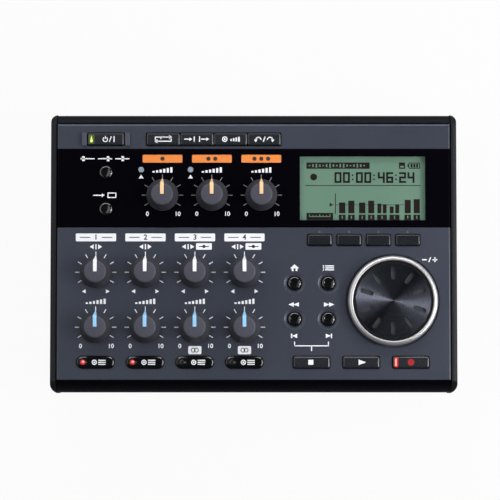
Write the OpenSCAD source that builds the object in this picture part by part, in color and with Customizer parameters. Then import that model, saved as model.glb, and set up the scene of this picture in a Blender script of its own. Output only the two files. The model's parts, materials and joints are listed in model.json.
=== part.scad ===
// Pocket multitrack recorder with turning knobs, a data wheel and sprung keys.
// Millimetres. X runs to the right, Y to the rear, Z up. The origin is under the middle, on the table.

/* [Case] */
// Overall width across the side cheeks
case_w = 154.4; // [153:0.1:180]
// Overall depth across the side cheeks
case_d = 106.6; // [105:0.1:125]
// Thickness of each side cheek
cheek_t = 2.1; // [2.1:0.1:3]
// How far the cheeks stand proud of the front and the rear
cheek_proud = 0.25; // [0.1:0.05:0.5]
// Corner radius of the cheeks, seen from above
corner_r = 3.5; // [2.5:0.1:5]
// Radius along the outer edges of the cheeks
cheek_edge_r = 1; // [0.5:0.1:1.5]
// Wall thickness of the shells
wall_t = 2; // [1.6:0.1:2.4]
// Thickness of the top plate
plate_t = 2.2; // [2:0.1:3]
// Horizontal run of the curved front and rear shoulders
edge_run = 4.65; // [3.5:0.05:6]
// Height of the curved front and rear shoulders
edge_drop = 9; // [8:0.1:10]
// Radius along the lower front and rear edges
base_r = 3; // [2:0.1:3.5]
// Chamfer on the left and right edges of the top plate
plate_chamfer = 0.7; // [0.3:0.1:1]
// Height of the low front sill under the front panel
sill_h = 4.7; // [4:0.1:6]
// Height of the feet below the case
foot_h = 1.5; // [1:0.1:3]
// Diameter of the feet
foot_d = 10; // [8:0.5:11]
// Depth of the recess that holds each foot
foot_seat = 0.6; // [0.3:0.1:1]
// Distance of the front feet behind the rounded lower edge
foot_front_gap = 2.75; // [1:0.05:6]
// Distance of the rear feet in front of the rear screws
foot_rear_gap = 5; // [2:0.1:10]

/* [Inside] */
// Free height between the panel board and the top plate
control_h = 5.7; // [5.4:0.1:8]
// Thickness of the panel board
board_t = 1.2; // [1:0.1:1.6]
// Diameter of a battery cell
cell_d = 14.5; // [10.5:0.5:16]
// Length of a battery cell with its nub
cell_l = 50.5; // [44:0.5:51]
// Thickness of the battery door
door_t = 1.8; // [1.4:0.1:2.4]
// Thickness of the battery bay roof
roof_t = 0.8; // [0.6:0.1:1.5]
// Diameter of the pot and encoder shafts
shaft_d = 6; // [4:0.5:6]
// Diameter of the screw shanks
screw_d = 2.2; // [1.6:0.1:2.6]

/* [Window and display] */
// Middle of the window panel, measured to the rear
window_y = 24.45; // [23:0.05:25]
// Depth of the window panel
window_d = 30; // [29:0.1:31]
// Thickness of the window panel
window_t = 1.4; // [1:0.1:1.5]
// Middle of the display, measured to the right
lcd_x = 41.4; // [39:0.1:42]
// Visible width of the display
lcd_w = 47.4; // [40:0.1:48]
// Visible depth of the display
lcd_d = 24.1; // [18:0.1:24.5]
// Frame of the display module around the visible part
lcd_frame = 2.2; // [1:0.1:2.4]
// Diameter of the overload lamps
lamp_d = 2.1; // [1.5:0.1:2.4]
// Row of overload lamps, behind the window's middle
lamp_dy = 7.1; // [6.5:0.05:8.5]

/* [Knobs] */
// First track column, measured to the right
track_x = -59.9; // [-60.5:0.1:-59]
// Distance between the columns of knobs
track_pitch = 18.8; // [18:0.1:19]
// Row of pan knobs, measured to the rear
pan_y = -7.55; // [-9:0.05:-6]
// Row of level knobs, measured to the rear
level_y = -28.4; // [-29.5:0.05:-26]
// First input knob, measured to the right
input_x = -34.7; // [-36:0.1:-34]
// Row of input knobs, in front of the window's middle
input_dy = 2.65; // [2:0.05:5]
// Diameter of the knob skirts
skirt_d = 12.1; // [11:0.1:13]
// Diameter of the knob tops
cap_d = 8.3; // [8:0.1:9.5]
// Height of the knobs above the panel
knob_h = 6.5; // [6:0.1:12]
// Width of the raised pointer on each knob
pointer_w = 1.4; // [0.8:0.1:2]
// How far the pointer stands proud of the knob
pointer_proud = 0.25; // [0.1:0.05:0.4]

/* [Data wheel] */
// Middle of the wheel, measured to the right
wheel_x = 52.8; // [52:0.1:53]
// Middle of the wheel, measured to the rear
wheel_y = -18.4; // [-19:0.1:-18]
// Outer diameter of the wheel
wheel_d = 34; // [30:0.5:34.5]
// Width of the silver rim
rim_t = 1.8; // [1:0.1:2.5]
// Height of the rim above the panel
wheel_h = 3.4; // [2.5:0.1:5]
// Number of finger slots
slot_count = 10; // [4:1:12]
// Distance of the slots' inner ends from the middle
slot_in = 7.9; // [7:0.1:9]
// Distance of the slots' outer ends from the middle
slot_out = 13; // [11:0.1:13]
// Width of the finger slots
slot_w = 1.7; // [1:0.1:2.5]

/* [Keys] */
// Travel of every key
key_travel = 0.5; // [0.3:0.05:0.6]
// How far the keys stand proud of the panel
key_proud = 0.8; // [0.6:0.1:1.5]
// Gap around every key cap
key_gap = 0.2; // [0.15:0.05:0.35]
// Row of power and function keys, measured to the rear
strip_y = 43.1; // [42.9:0.05:43.3]
// Depth of the power and function keys
strip_d = 4.9; // [4:0.1:5.2]
// Power key, measured to the right
power_x = -56.25; // [-57:0.05:-55]
// Width of the power key
power_w = 14; // [12:0.1:15]
// Width of the ribs that guard the power key
guard_w = 1.8; // [1:0.1:2]
// Height of those ribs above the panel
guard_h = 1; // [0.5:0.1:2]
// Middle of the function keys, measured to the right
function_x = -15.2; // [-16:0.1:-14]
// Distance between function keys
function_pitch = 12.8; // [11:0.1:13.5]
// Column of round keys on the window, measured to the right
window_key_x = -56.2; // [-57:0.1:-55]
// Distance of those keys in front of and behind the window's middle
window_key_dy = 7; // [6:0.05:8]
// How far the middle of the two window keys lies in front of the window's middle
window_key_drop = 0.95; // [0:0.05:1.5]
// Diameter of the round key holes
round_d = 5.4; // [4.6:0.1:5.6]
// Middle of the four round keys, measured to the right
nav_x = 21.9; // [21.5:0.1:22.3]
// Middle of the four round keys, measured to the rear
nav_y = -18.5; // [-19:0.1:-18]
// Distance between round keys, left to right
nav_dx = 12.8; // [12:0.1:13]
// Distance between round keys, front to rear
nav_dy = 13.6; // [12:0.1:14]
// Diameter of the shallow dish around each round key
dish_d = 8.2; // [7:0.1:8.6]
// Depth of that dish
dish_h = 0.5; // [0.2:0.1:0.6]
// Middle of the soft keys, measured to the right
soft_x = 41.8; // [41:0.1:42.5]
// Row of soft keys, measured to the rear
soft_y = 4.7; // [4:0.05:5]
// Distance between soft keys
soft_pitch = 11.15; // [10.8:0.05:11.5]
// Width of the soft keys
soft_w = 9.3; // [8:0.1:9.8]
// Depth of the soft keys
soft_d = 4.4; // [4:0.1:4.6]
// Row of transport and track keys, measured to the rear
bar_y = -41.7; // [-42.2:0.05:-41.4]
// Middle of the transport keys, measured to the right
transport_x = 40.7; // [40:0.1:41]
// Width of the transport keys
transport_w = 13.9; // [12:0.1:14.5]
// Width of the track keys
arm_w = 14.4; // [12:0.1:14.6]
// Depth of the transport and track keys
bar_d = 4.65; // [4:0.05:4.9]
// Corner radius of the straight-sided keys
key_r = 0.6; // [0.3:0.1:1]

/* [Rear and side] */
// First large jack, measured to the right
jack_x = -50; // [-51:0.5:-48]
// Distance between the large jacks
jack_pitch = 20; // [18:0.5:21]
// First small jack, measured to the right
mini_x = -8; // [-9:0.5:-6]
// Distance between the small jacks
mini_pitch = 16; // [13:0.5:17]
// Data port, measured to the right
port_x = 29; // [27:0.5:31]
// Bore of the large jacks
jack_bore = 6.5; // [6.35:0.05:6.6]
// Bore of the small jacks
mini_bore = 3.6; // [3.5:0.05:3.8]
// Middle of the card slot, measured to the rear
card_y = 14; // [12:0.5:15]
// Width of a memory card
card_w = 24; // [20:0.5:24]
// Thickness of a memory card
card_t = 2.1; // [1.4:0.1:2.1]
// Distance of the microphone cups from the battery bay
mic_room = 1.3; // [0.5:0.1:2.5]
// Diameter of the microphone capsules
mic_d = 6; // [5:0.5:6]

/* [Hidden] */
$fn = 48;
eps = 0.01;
far = 100;

// Clearances
seam = 0.1;
cell_gap = 0.25;
board_gap = 0.3;
run_gap = 0.06;
fit_gap = 0.03;
slide_gap = 0.2;
side_gap = 0.25;
lift_gap = 0.15;
hole_gap = 0.4;

// How far a cut runs past a face, and the end wall of a blind hole
over = 1;
blind_t = 0.5;

// Heights, from the table up
base_z = foot_h;
floor_z = base_z + wall_t;
sill_z = base_z + sill_h;
door_top = base_z + door_t;
cell_z = door_top + cell_gap + cell_d / 2;
roof_z = cell_z + cell_d / 2 + cell_gap;
board_z = roof_z + roof_t + board_gap;
board_top = board_z + board_t;
plate_z = board_top + control_h;
panel_z = plate_z + plate_t;
shoulder_z = panel_z - edge_drop;
parting_z = board_z;
window_z = panel_z - window_t;

// Widths and depths
inner_x = case_w / 2 - cheek_t;
half_w = inner_x - seam;
body_d = case_d - 2 * cheek_proud;
edge_r = (edge_run * edge_run + edge_drop * edge_drop) / (2 * edge_run);
panel_y = body_d / 2 - edge_run;
inner_y = body_d / 2 - wall_t;

// The places of the controls are given for a panel of this half width and half depth,
// and spread with the panel when the case changes
layout_w = 75;
layout_d = 48.4;
function col(x) = x * half_w / layout_w;
function row(y) = y * panel_y / layout_d;
win_y = row(window_y);
win_front = win_y - window_d / 2;
win_rear = win_y + window_d / 2;
display_x = col(lcd_x);
dial_x = col(wheel_x);
dial_y = row(wheel_y);
strip_row = row(strip_y);
knob_pitch = col(track_pitch);
input_row = win_y - input_dy;
lamp_row = win_y + lamp_dy;

// How far the cheek's rounded corner falls back by the time it meets the case
corner_run = max(corner_r - cheek_t, 0);
corner_sag = corner_r - sqrt(corner_r * corner_r - corner_run * corner_run);

// Battery bay: two rows of two cells, end to end
row_gap = 0.7;
end_gap = 0.35;
contact_room = 3.1;
cell_pitch = cell_d + row_gap;
tub_t = 1.6;
tub_set = 0.55;
bay_x = cell_l + contact_room;
bay_front = -(inner_y - tub_set - tub_t);
bay_rear = bay_front + cell_pitch + cell_d + 2 * end_gap;
cell_front_y = bay_front + end_gap + cell_d / 2;
door_lap = 0.7;
door_x = bay_x + door_lap;
tongue_w = 1.5;
tongue_t = 0.6;
tongue_rise = 0.6;
tongue_z = base_z + tongue_rise;
grip_count = 3;
grip_y = 6;
grip_pitch = 1.6;
grip_l = 12;
grip_w = 0.7;
grip_h = 0.3;

// Posts of the top case that carry the panel board and take the bottom screws
post_r = 3;
collar_r = 3.8;
boss_r = 3.6;
post_inset = 4.6;
post_edge = 4.8;
post_gap = 2.35;
post_rise = 2.5;
post_x = half_w - post_inset;
post_rear = panel_y - post_edge;
post_z = floor_z + post_rise;
head_d = 4.6;
head_h = 1.5;
counterbore = 2.2;
screw_l = 9;
cheek_screw_l = 6;
tip_gap = 1;
cross_l = 2.4;
cross_w = 0.5;
cross_h = 0.8;
pilot_gap = 0.12;
pilot_d = screw_d + pilot_gap;

// Blocks of the bottom case that take the cheek screws
block_l = 9;
block_w = 8;
block_h = 9;
block_inset = 7.8;
block_gap = 1.7;
block_top = floor_z + block_h;
cheek_screw_rise = 5.5;
cheek_screw_z = floor_z + cheek_screw_rise;
cheek_screw_front = -(inner_y - block_inset);
cheek_screw_rear = post_rear - boss_r - block_w / 2 - block_gap;
post_front = cheek_screw_front + block_w / 2 + boss_r + post_gap;

// Feet stand midway between the battery door and the sides
foot_x = (door_x + tongue_w + half_w) / 2;
foot_front = body_d / 2 - base_r - foot_d / 2 - foot_front_gap;
foot_rear = post_rear - head_d / 2 - foot_d / 2 - foot_rear_gap;

// Controls on the panel board
pot_w = 9;
pot_room = 1.1;
pot_h = control_h - pot_room;
bush_gap = 0.2;
encoder_w = 12;
shaft_foot = 1;
foot_gap = 0.3;
shaft_room = 1.2;
bush_wall = 1;
shaft_hole = shaft_d + shaft_room;
bush_d = shaft_d + 2 * bush_wall;
flat_z = 0.8;
knob_lift = 0.4;
knob_cover = 1.9;
bore_h = knob_h - knob_cover;
skirt_h = 1.4;
cap_z = 2;
cap_flare = 0.75;
cap_edge = 0.4;
guard_gap = 0.3;
guard_r = 0.4;
lamp_dx = 8.1;
lcd_room = 0.5;
board_edge = 3;
chip_w = 14;
chip_h = 1.4;
chip_x = 24;
switch_w = 6;
switch_room = 0.9;
stem_d = 3;
flange_t = 0.8;
flange_lip = 0.8;
flange_gap = 0.1;
stem_l = 3;
switch_h = control_h - flange_gap - flange_t - key_travel - switch_room;

// Wheel
pocket_gap = 0.8;
pocket_h = 1.2;
wheel_lift = 0.3;
hub_hole = shaft_d + 2 * shaft_room;

// Jacks and ports hang under the panel board
jack_w = 13;
jack_l = 31;
jack_r = 4.5;
jack_low = 5.5;
socket_back = 1;
jack_drop = 5.5;
jack_z = board_z - jack_drop;
mini_w = 8;
mini_l = 15;
mini_r = 3.2;
mini_low = 4;
port_w = 7.8;
port_t = 4;
port_l = 9.2;
plate_recess = 0.6;
jack_plate_t = 1.6;
jack_plate_y = body_d / 2 - plate_recess - jack_plate_t;
jack_plate_edge = 5;
jack_plate_left = jack_x - jack_w / 2 - jack_plate_edge;
jack_plate_right = port_x + port_w / 2 + jack_plate_edge;
jack_plate_lip = 1.2;
jack_plate_z = jack_z - jack_r - jack_plate_lip;
collar_y = body_d / 2 - lift_gap;

// Card socket and its door in the right cheek
shell_t = 0.55;
shell_w = 1.5;
slot_room = 0.4;
slot_rise = 0.35;
socket_h = card_t + 2 * shell_t;
socket_z = board_z - socket_h;
socket_w = card_w + 2 * shell_w;
socket_l = 27;
pad_t = 2;
pad_lip = 2.5;
pad_skin = 1;
slot_y = card_w + 2 * slot_room;
slot_z = socket_z + socket_h / 2;
slot_h = card_t + 2 * slot_rise;
hatch_side = 2.5;
hatch_lip = 1.7;
hatch_y = slot_y + 2 * hatch_side;
hatch_h = slot_h + 2 * hatch_lip;
hatch_depth = 1.9;
hatch_t = 1.6;
hatch_x = case_w / 2 - lift_gap - hatch_t / 2;
hatch_low = slot_z - hatch_h / 2;
hinge_z = hatch_low + side_gap + hatch_t / 2;
hinge_pin_d = 1;
hinge_pin_l = 1.2;

// Microphones
mic_l = 4;
mic_rise = 10.5;
mic_z = floor_z + mic_rise;
mic_cup = 1;
mic_x = bay_x + tub_t + mic_d / 2 + mic_cup + mic_room;
mic_show = 0.5;
mic_slots = 3;
mic_slot_pitch = 1.7;
mic_slot_w = 0.8;
ledge_h = 2.2;
ledge_d = 3;

// Cheeks reach this far past the panel and the base before their edges are rounded
cheek_rise = 0.1;

// Names and places of the eleven knobs
knobs = concat(
    [for (i = [0:2]) [["input_a_knob", "input_b_knob", "master_knob"][i],
        col(input_x) + i * knob_pitch, input_row]],
    [for (i = [0:3]) [str("pan_knob_", i + 1), col(track_x) + i * knob_pitch, row(pan_y)]],
    [for (i = [0:3]) [str("level_knob_", i + 1), col(track_x) + i * knob_pitch, row(level_y)]]
);

// Names, shapes, places and hole sizes of the twenty-two keys
keys = concat(
    [["power_key", "bar", col(power_x), strip_row, power_w, strip_d]],
    [for (i = [0:3]) [str("function_key_", i + 1), "joined",
        col(function_x) + (i - 1.5) * function_pitch, strip_row, function_pitch, strip_d]],
    [for (i = [0:1]) [["input_setting_key", "assign_key"][i], "round",
        col(window_key_x), win_y - window_key_drop + (1 - 2 * i) * window_key_dy, round_d, round_d]],
    [for (i = [0:3]) [str("soft_key_", i + 1), "bar",
        col(soft_x) + (i - 1.5) * soft_pitch, row(soft_y), soft_w, soft_d]],
    [for (i = [0:3]) [["home_key", "menu_key", "rewind_key", "forward_key"][i], "round",
        col(nav_x) + (i % 2 - 0.5) * nav_dx, row(nav_y) + (0.5 - floor(i / 2)) * nav_dy, round_d, round_d]],
    [for (i = [0:2]) [["stop_key", "play_key", "record_key"][i], "bar",
        col(transport_x) + (i - 1) * knob_pitch, row(bar_y), transport_w, bar_d]],
    [for (i = [0:3]) [str("track_key_", i + 1), "pill",
        col(track_x) + i * knob_pitch, row(bar_y), arm_w, bar_d]]
);

function named(list) = [for (item = list) item[0]];

// Solids drawn from flat outlines
module upright(z0, z1) { translate([0, 0, z0]) linear_extrude(z1 - z0) children(); }
module along_x(x0, x1) { translate([x0, 0, 0]) rotate([90, 0, 90]) linear_extrude(x1 - x0) children(); }
module along_y(y0, y1) { translate([0, y1, 0]) rotate([90, 0, 0]) linear_extrude(y1 - y0) children(); }
module block(low, high) { translate(low) cube(high - low); }
module rod_y(d, y0, y1) { translate([0, y0, 0]) rotate([-90, 0, 0]) cylinder(d = d, h = y1 - y0); }
module rod_x(d, x0, x1) { translate([x0, 0, 0]) rotate([0, 90, 0]) cylinder(d = d, h = x1 - x0); }

module rounded_rect(w, d, r) {
    square([w - 2 * r, d], center = true);
    square([w, d - 2 * r], center = true);
    for (x = [-1, 1], y = [-1, 1]) translate([x * (w / 2 - r), y * (d / 2 - r)]) circle(r);
}

module pill(w, d) {
    square([w - d, d], center = true);
    for (x = [-1, 1]) translate([x * (w - d) / 2, 0]) circle(d = d);
}

// Outline of the case seen from the side, grown outwards by out
module side_outline(out = 0) {
    half = body_d / 2 + out;
    core = body_d / 2 - edge_r;
    low = base_z + base_r;
    translate([-half, low]) square([2 * half, shoulder_z - low]);
    translate([-(body_d / 2 - base_r), base_z - out]) square([body_d - 2 * base_r, base_r + out + eps]);
    for (s = [-1, 1]) translate([s * (body_d / 2 - base_r), low]) circle(base_r + out);
    intersection() {
        union() {
            for (s = [-1, 1]) translate([s * core, shoulder_z]) circle(edge_r + out);
            translate([-core, shoulder_z - eps]) square([2 * core, edge_r]);
        }
        translate([-half, shoulder_z - eps]) square([2 * half, edge_drop + eps]);
    }
}

// Outline of the space inside the case walls
module cavity_outline() {
    core = body_d / 2 - edge_r;
    translate([-inner_y, floor_z]) square([2 * inner_y, shoulder_z - floor_z]);
    intersection() {
        union() {
            for (s = [-1, 1]) translate([s * core, shoulder_z]) circle(edge_r - wall_t);
            translate([-core, shoulder_z - eps]) square([2 * core, edge_drop]);
        }
        translate([-inner_y, shoulder_z - eps]) square([2 * inner_y, plate_z - shoulder_z + eps]);
    }
}

module wall_outline() {
    difference() {
        side_outline();
        cavity_outline();
    }
}

// Places of the four posts, four feet and four cheek screws
module at_posts() {
    for (x = [-1, 1], y = [post_front, post_rear]) translate([x * post_x, y, 0]) children();
}
module at_feet() {
    for (x = [-1, 1], y = [-foot_front, foot_rear]) translate([x * foot_x, y, 0]) children();
}
module at_cheek_screws(side) {
    for (y = [cheek_screw_front, cheek_screw_rear])
        translate([0, y, cheek_screw_z]) rotate([0, 0, side > 0 ? 0 : 180]) children();
}

module bottom_section() {
    difference() {
        wall_outline();
        translate([-far, parting_z]) square([2 * far, far]);
        translate([-far, sill_z]) square([far, far]);
    }
}

module bottom_case() {
    tub_low = [-bay_x - tub_t, bay_front - tub_t, floor_z - eps];
    tub_high = [bay_x + tub_t, bay_rear + tub_t, roof_z + roof_t];
    notch_low = [jack_plate_left - seam, 0, jack_plate_z - seam];
    notch_high = [jack_plate_right + seam, far, parting_z + over];
    color("#1b1b1f") difference() {
        union() {
            along_x(-half_w, half_w) bottom_section();
            block(tub_low, tub_high);
            at_posts() upright(floor_z - eps, post_z) circle(boss_r);
            for (side = [-1, 1]) at_cheek_screws(side)
                block([half_w - block_l, -block_w / 2, floor_z - cheek_screw_z - eps],
                      [half_w, block_w / 2, block_top - cheek_screw_z]);
        }
        block([-bay_x, bay_front, base_z - over], [bay_x, bay_rear, roof_z]);
        door_opening();
        block(notch_low, notch_high);
        at_posts() translate([0, 0, base_z - over]) cylinder(d = head_d + hole_gap, h = counterbore + over);
        at_posts() translate([0, 0, base_z]) cylinder(d = screw_d + hole_gap, h = far);
        at_feet() translate([0, 0, base_z - over]) cylinder(d = foot_d + 2 * seam, h = foot_seat + over);
        for (side = [-1, 1]) at_cheek_screws(side)
            rod_x(pilot_d, half_w - block_l + blind_t, half_w + over);
    }
}

// Room for the battery door, its tongues and its front lip
module door_opening() {
    rear = bay_rear + 2 * slide_gap;
    groove_x = door_x + tongue_w + slide_gap;
    block([-door_x, -far, base_z - over], [door_x, rear, door_top + lift_gap]);
    block([-door_x, -far, base_z - over], [door_x, -inner_y + eps, sill_z + over]);
    block([-groove_x, -far, tongue_z - slide_gap], [groove_x, rear, tongue_z + tongue_t + slide_gap]);
}

module battery_door() {
    rear = bay_rear + slide_gap;
    color("#1b1b1f") union() {
        intersection() {
            along_x(-door_x + slide_gap, door_x - slide_gap) side_outline();
            union() {
                block([-far, -far, 0], [far, rear, door_top]);
                block([-far, -far, 0], [far, -inner_y - lift_gap, sill_z - lift_gap]);
            }
        }
        for (s = [0, 1]) mirror([s, 0, 0])
            block([door_x - tongue_w, -inner_y, tongue_z], [door_x + tongue_w, rear, tongue_z + tongue_t]);
        for (i = [0:grip_count - 1]) translate([0, -inner_y + grip_y + grip_pitch * i, 0])
            block([-grip_l / 2, 0, base_z - grip_h], [grip_l / 2, grip_w, base_z + grip_h]);
    }
}

module top_section() {
    intersection() {
        side_outline();
        translate([-panel_y + seam / 2, plate_z]) square([far, plate_t]);
    }
    intersection() {
        wall_outline();
        translate([0, parting_z]) square([far, far]);
    }
}

module end_chamfers() {
    for (s = [-1, 1]) along_y(-far, far) polygon([
        [s * (half_w - plate_chamfer), panel_z + eps],
        [s * (half_w + eps), panel_z - plate_chamfer],
        [s * (half_w + over), panel_z + over]
    ]);
}

module top_case() {
    color("#454a57") difference() {
        union() {
            difference() {
                along_x(-half_w, half_w) top_section();
                end_chamfers();
            }
            at_posts() upright(post_z, board_top) circle(post_r);
            at_posts() upright(board_top, plate_z + eps) circle(collar_r);
            for (s = [-1, 1])
                translate([col(power_x) + s * ((power_w + guard_w) / 2 + guard_gap), strip_row, 0])
                    upright(panel_z - eps, panel_z + guard_h) rounded_rect(guard_w, strip_d, guard_r);
        }
        block([-far, win_front, window_z], [far, win_rear, far]);
        lcd_prism(0, far, 2 * lcd_room);
        knob_holes();
        key_holes();
        lamp_holes();
        for (k = keys) if (k[1] == "round" && k[3] < win_front)
            translate([k[2], k[3], panel_z - dish_h]) cylinder(d1 = round_d, d2 = dish_d, h = dish_h + eps);
        translate([dial_x, dial_y, panel_z - pocket_h]) cylinder(d = wheel_d + 2 * pocket_gap, h = far);
        translate([dial_x, dial_y, 0]) cylinder(d = hub_hole, h = far);
        at_posts() translate([0, 0, post_z - eps]) cylinder(d = pilot_d, h = screw_l);
    }
}

// Holes that the window panel and the top case share
module knob_holes() {
    for (k = knobs) translate([k[1], k[2], plate_z - over]) cylinder(d = shaft_hole, h = far);
}
module lamp_holes() {
    for (i = [0:1])
        translate([lamp_x(i), lamp_row, plate_z - over]) cylinder(d = lamp_d + 2 * seam, h = far);
}
module key_holes() {
    for (k = keys) if (k[1] != "joined")
        translate([k[2], k[3], 0]) upright(plate_z - over, far) key_outline(k, 0);
    translate([col(function_x), strip_row, 0]) upright(plate_z - over, far)
        rounded_rect(4 * function_pitch, strip_d, key_r);
}

function lamp_x(i) = col(input_x) + i * knob_pitch - lamp_dx;

module front_panel() {
    color("#08080b") difference() {
        union() {
            along_x(-half_w, half_w) intersection() {
                wall_outline();
                translate([-far, sill_z + seam]) square([far - panel_y - seam / 2, far]);
            }
            along_x(-half_w, half_w)
                translate([-panel_y - over, plate_z - ledge_h]) square([ledge_d, ledge_h - seam]);
            for (s = [-1, 1]) translate([s * mic_x, 0, mic_z])
                rod_y(mic_d + 2 * mic_cup, -inner_y - eps, -inner_y + mic_l - mic_show);
        }
        for (s = [-1, 1]) translate([s * mic_x, 0, mic_z]) rod_y(mic_d + 2 * seam, -inner_y, 0);
        for (s = [-1, 1], i = [0:mic_slots - 1])
            translate([s * mic_x, 0, mic_z + (i - (mic_slots - 1) / 2) * mic_slot_pitch])
                along_y(-far, -inner_y + mic_show) pill(mic_d - mic_cup, mic_slot_w);
    }
}

module microphones() {
    color("#8d8f94") for (s = [-1, 1])
        translate([s * mic_x, 0, mic_z]) rod_y(mic_d, -inner_y, -inner_y + mic_l);
}

// One cheek, on the right for side = 1 and on the left for side = -1
module cheek_solid(side) {
    intersection() {
        along_x(side > 0 ? inner_x : -case_w / 2, side > 0 ? case_w / 2 : -inner_x)
            side_outline(cheek_proud);
        upright(-over, far) rounded_rect(case_w, case_d + 2 * corner_sag, corner_r);
        along_y(-far, far) translate([0, (panel_z + base_z) / 2])
            rounded_rect(case_w, panel_z - base_z + 2 * cheek_rise, cheek_edge_r);
    }
}

module cheek_screw_holes(side) {
    at_cheek_screws(side) rod_x(screw_d + hole_gap, inner_x - over, case_w / 2 + over);
    at_cheek_screws(side) translate([case_w / 2 - head_h - seam, 0, 0]) rotate([0, 90, 0])
        cylinder(d1 = screw_d + 2 * seam, d2 = head_d + 2 * seam, h = head_h + seam + eps);
}

module left_cheek() {
    color("#26272b") difference() {
        cheek_solid(-1);
        cheek_screw_holes(-1);
    }
}

module right_cheek() {
    pad_y = hatch_y / 2 + pad_lip;
    pin_y = hatch_y / 2 + hinge_pin_l + seam;
    color("#26272b") difference() {
        union() {
            cheek_solid(1);
            translate([0, card_y, slot_z])
                block([inner_x - pad_t, -pad_y, -hatch_h / 2 - pad_skin],
                      [inner_x + eps, pad_y, board_z - slot_z - seam]);
        }
        cheek_screw_holes(1);
        translate([0, card_y, slot_z])
            block([inner_x - pad_t - over, -slot_y / 2, -slot_h / 2], [far, slot_y / 2, slot_h / 2]);
        translate([case_w / 2 - hatch_depth, card_y - hatch_y / 2, hatch_low])
            cube([far, hatch_y, hatch_h]);
        translate([hatch_x, card_y, hinge_z]) rod_y(hinge_pin_d + 2 * run_gap, -pin_y, pin_y);
    }
}

module sd_door() {
    leaf_y = hatch_y / 2 - side_gap;
    color("#26272b") translate([hatch_x, card_y, hinge_z]) {
        rod_y(hatch_t, -leaf_y, leaf_y);
        block([-hatch_t / 2, -leaf_y, 0], [hatch_t / 2, leaf_y, hatch_h - 2 * side_gap - hatch_t / 2]);
        rod_y(hinge_pin_d, -hatch_y / 2 - hinge_pin_l, hatch_y / 2 + hinge_pin_l);
    }
}

// A prism over the display's visible part, wider by grow
module lcd_prism(z0, z1, grow) {
    translate([display_x, win_y, 0]) upright(z0, z1) square([lcd_w + grow, lcd_d + grow], center = true);
}

module window_panel() {
    color("#07060e") difference() {
        block([-half_w, win_front + seam / 2, window_z], [half_w, win_rear - seam / 2, panel_z]);
        end_chamfers();
        lcd_prism(0, far, 2 * seam);
        knob_holes();
        key_holes();
        lamp_holes();
    }
}

module lcd_lens() { color("#dfe8e4", 0.4) lcd_prism(window_z, panel_z, 0); }

module lcd_module() {
    color("#6f9382") {
        lcd_prism(board_top, plate_z - seam, 2 * lcd_frame);
        lcd_prism(board_top, window_z - seam, lcd_room);
    }
}

module panel_board() {
    color("#1f5a3a") difference() {
        union() {
            block([-half_w + board_edge, -inner_y + board_edge, board_z],
                  [half_w - board_edge, inner_y - board_edge, board_top]);
            for (x = [-1, 1]) translate([x * chip_x, 0, 0])
                upright(board_z - chip_h, board_z + eps) square(chip_w, center = true);
        }
        at_posts() translate([0, 0, board_z - over]) cylinder(r = post_r + seam, h = board_t + 2 * over);
    }
}

// A square control on the board with a bush and a blind bore for its shaft
module pot(w) {
    difference() {
        union() {
            upright(board_top, board_top + pot_h) square(w, center = true);
            upright(board_top, plate_z - bush_gap) circle(d = bush_d);
        }
        translate([0, 0, board_top + shaft_foot - foot_gap]) cylinder(d = shaft_d + 2 * run_gap, h = far);
    }
}

module rotary_pots() { color("#3f6fa8") for (k = knobs) translate([k[1], k[2], 0]) pot(pot_w); }

module encoder_body() { color("#9a9ca0") translate([dial_x, dial_y, 0]) pot(encoder_w); }

module key_switches() {
    color("#2a2a2d") for (k = keys) translate([k[2], k[3], 0]) difference() {
        upright(board_top, board_top + switch_h) square(switch_w, center = true);
        translate([0, 0, board_top + blind_t]) cylinder(d = stem_d + hole_gap, h = far);
    }
}

module overload_lamps() {
    color("#aab9c8") for (i = [0:1])
        translate([lamp_x(i), lamp_row, board_top]) cylinder(d = lamp_d, h = panel_z - board_top);
}

// A turned shaft with a flat on its upper end, and the hole that takes it
module shaft(top_z, grow = 0) {
    foot_z = board_top + shaft_foot;
    difference() {
        translate([0, 0, foot_z]) cylinder(d = shaft_d + 2 * grow, h = top_z + grow - foot_z);
        translate([-far, shaft_d / 4 + grow, panel_z + flat_z + grow]) cube([2 * far, far, far]);
    }
}

// Half outline of a knob: a flat skirt, a steep body and a small edge round the top
module knob_outline(grow = 0) {
    top = knob_h - pointer_proud + grow;
    rim = skirt_d / 2 + grow;
    cap = cap_d / 2 + grow;
    polygon([
        [0, knob_lift], [rim, knob_lift], [rim, skirt_h + grow], [cap + cap_flare, cap_z + grow],
        [cap + cap_edge / 2, top - cap_edge], [cap - cap_edge / 2, top], [0, top]
    ]);
}

module knob(k) {
    shaft_top = panel_z + bore_h;
    translate([k[1], k[2], 0]) {
        color("#4b4b58") difference() {
            translate([0, 0, panel_z]) {
                rotate_extrude() knob_outline();
                intersection() {
                    rotate_extrude() knob_outline(pointer_proud);
                    block([-pointer_w / 2, 0, 0], [pointer_w / 2, far, far]);
                }
            }
            shaft(shaft_top, fit_gap);
        }
        color("#b9bbc0") shaft(shaft_top);
    }
}

module data_wheel_rim() {
    edge = 0.5;
    color("#d5d7da") translate([dial_x, dial_y, 0]) rotate_extrude()
        translate([wheel_d / 2 - rim_t / 2, panel_z + (wheel_h - pocket_h + wheel_lift) / 2])
            rounded_rect(rim_t, wheel_h + pocket_h - wheel_lift, edge);
}

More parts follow.
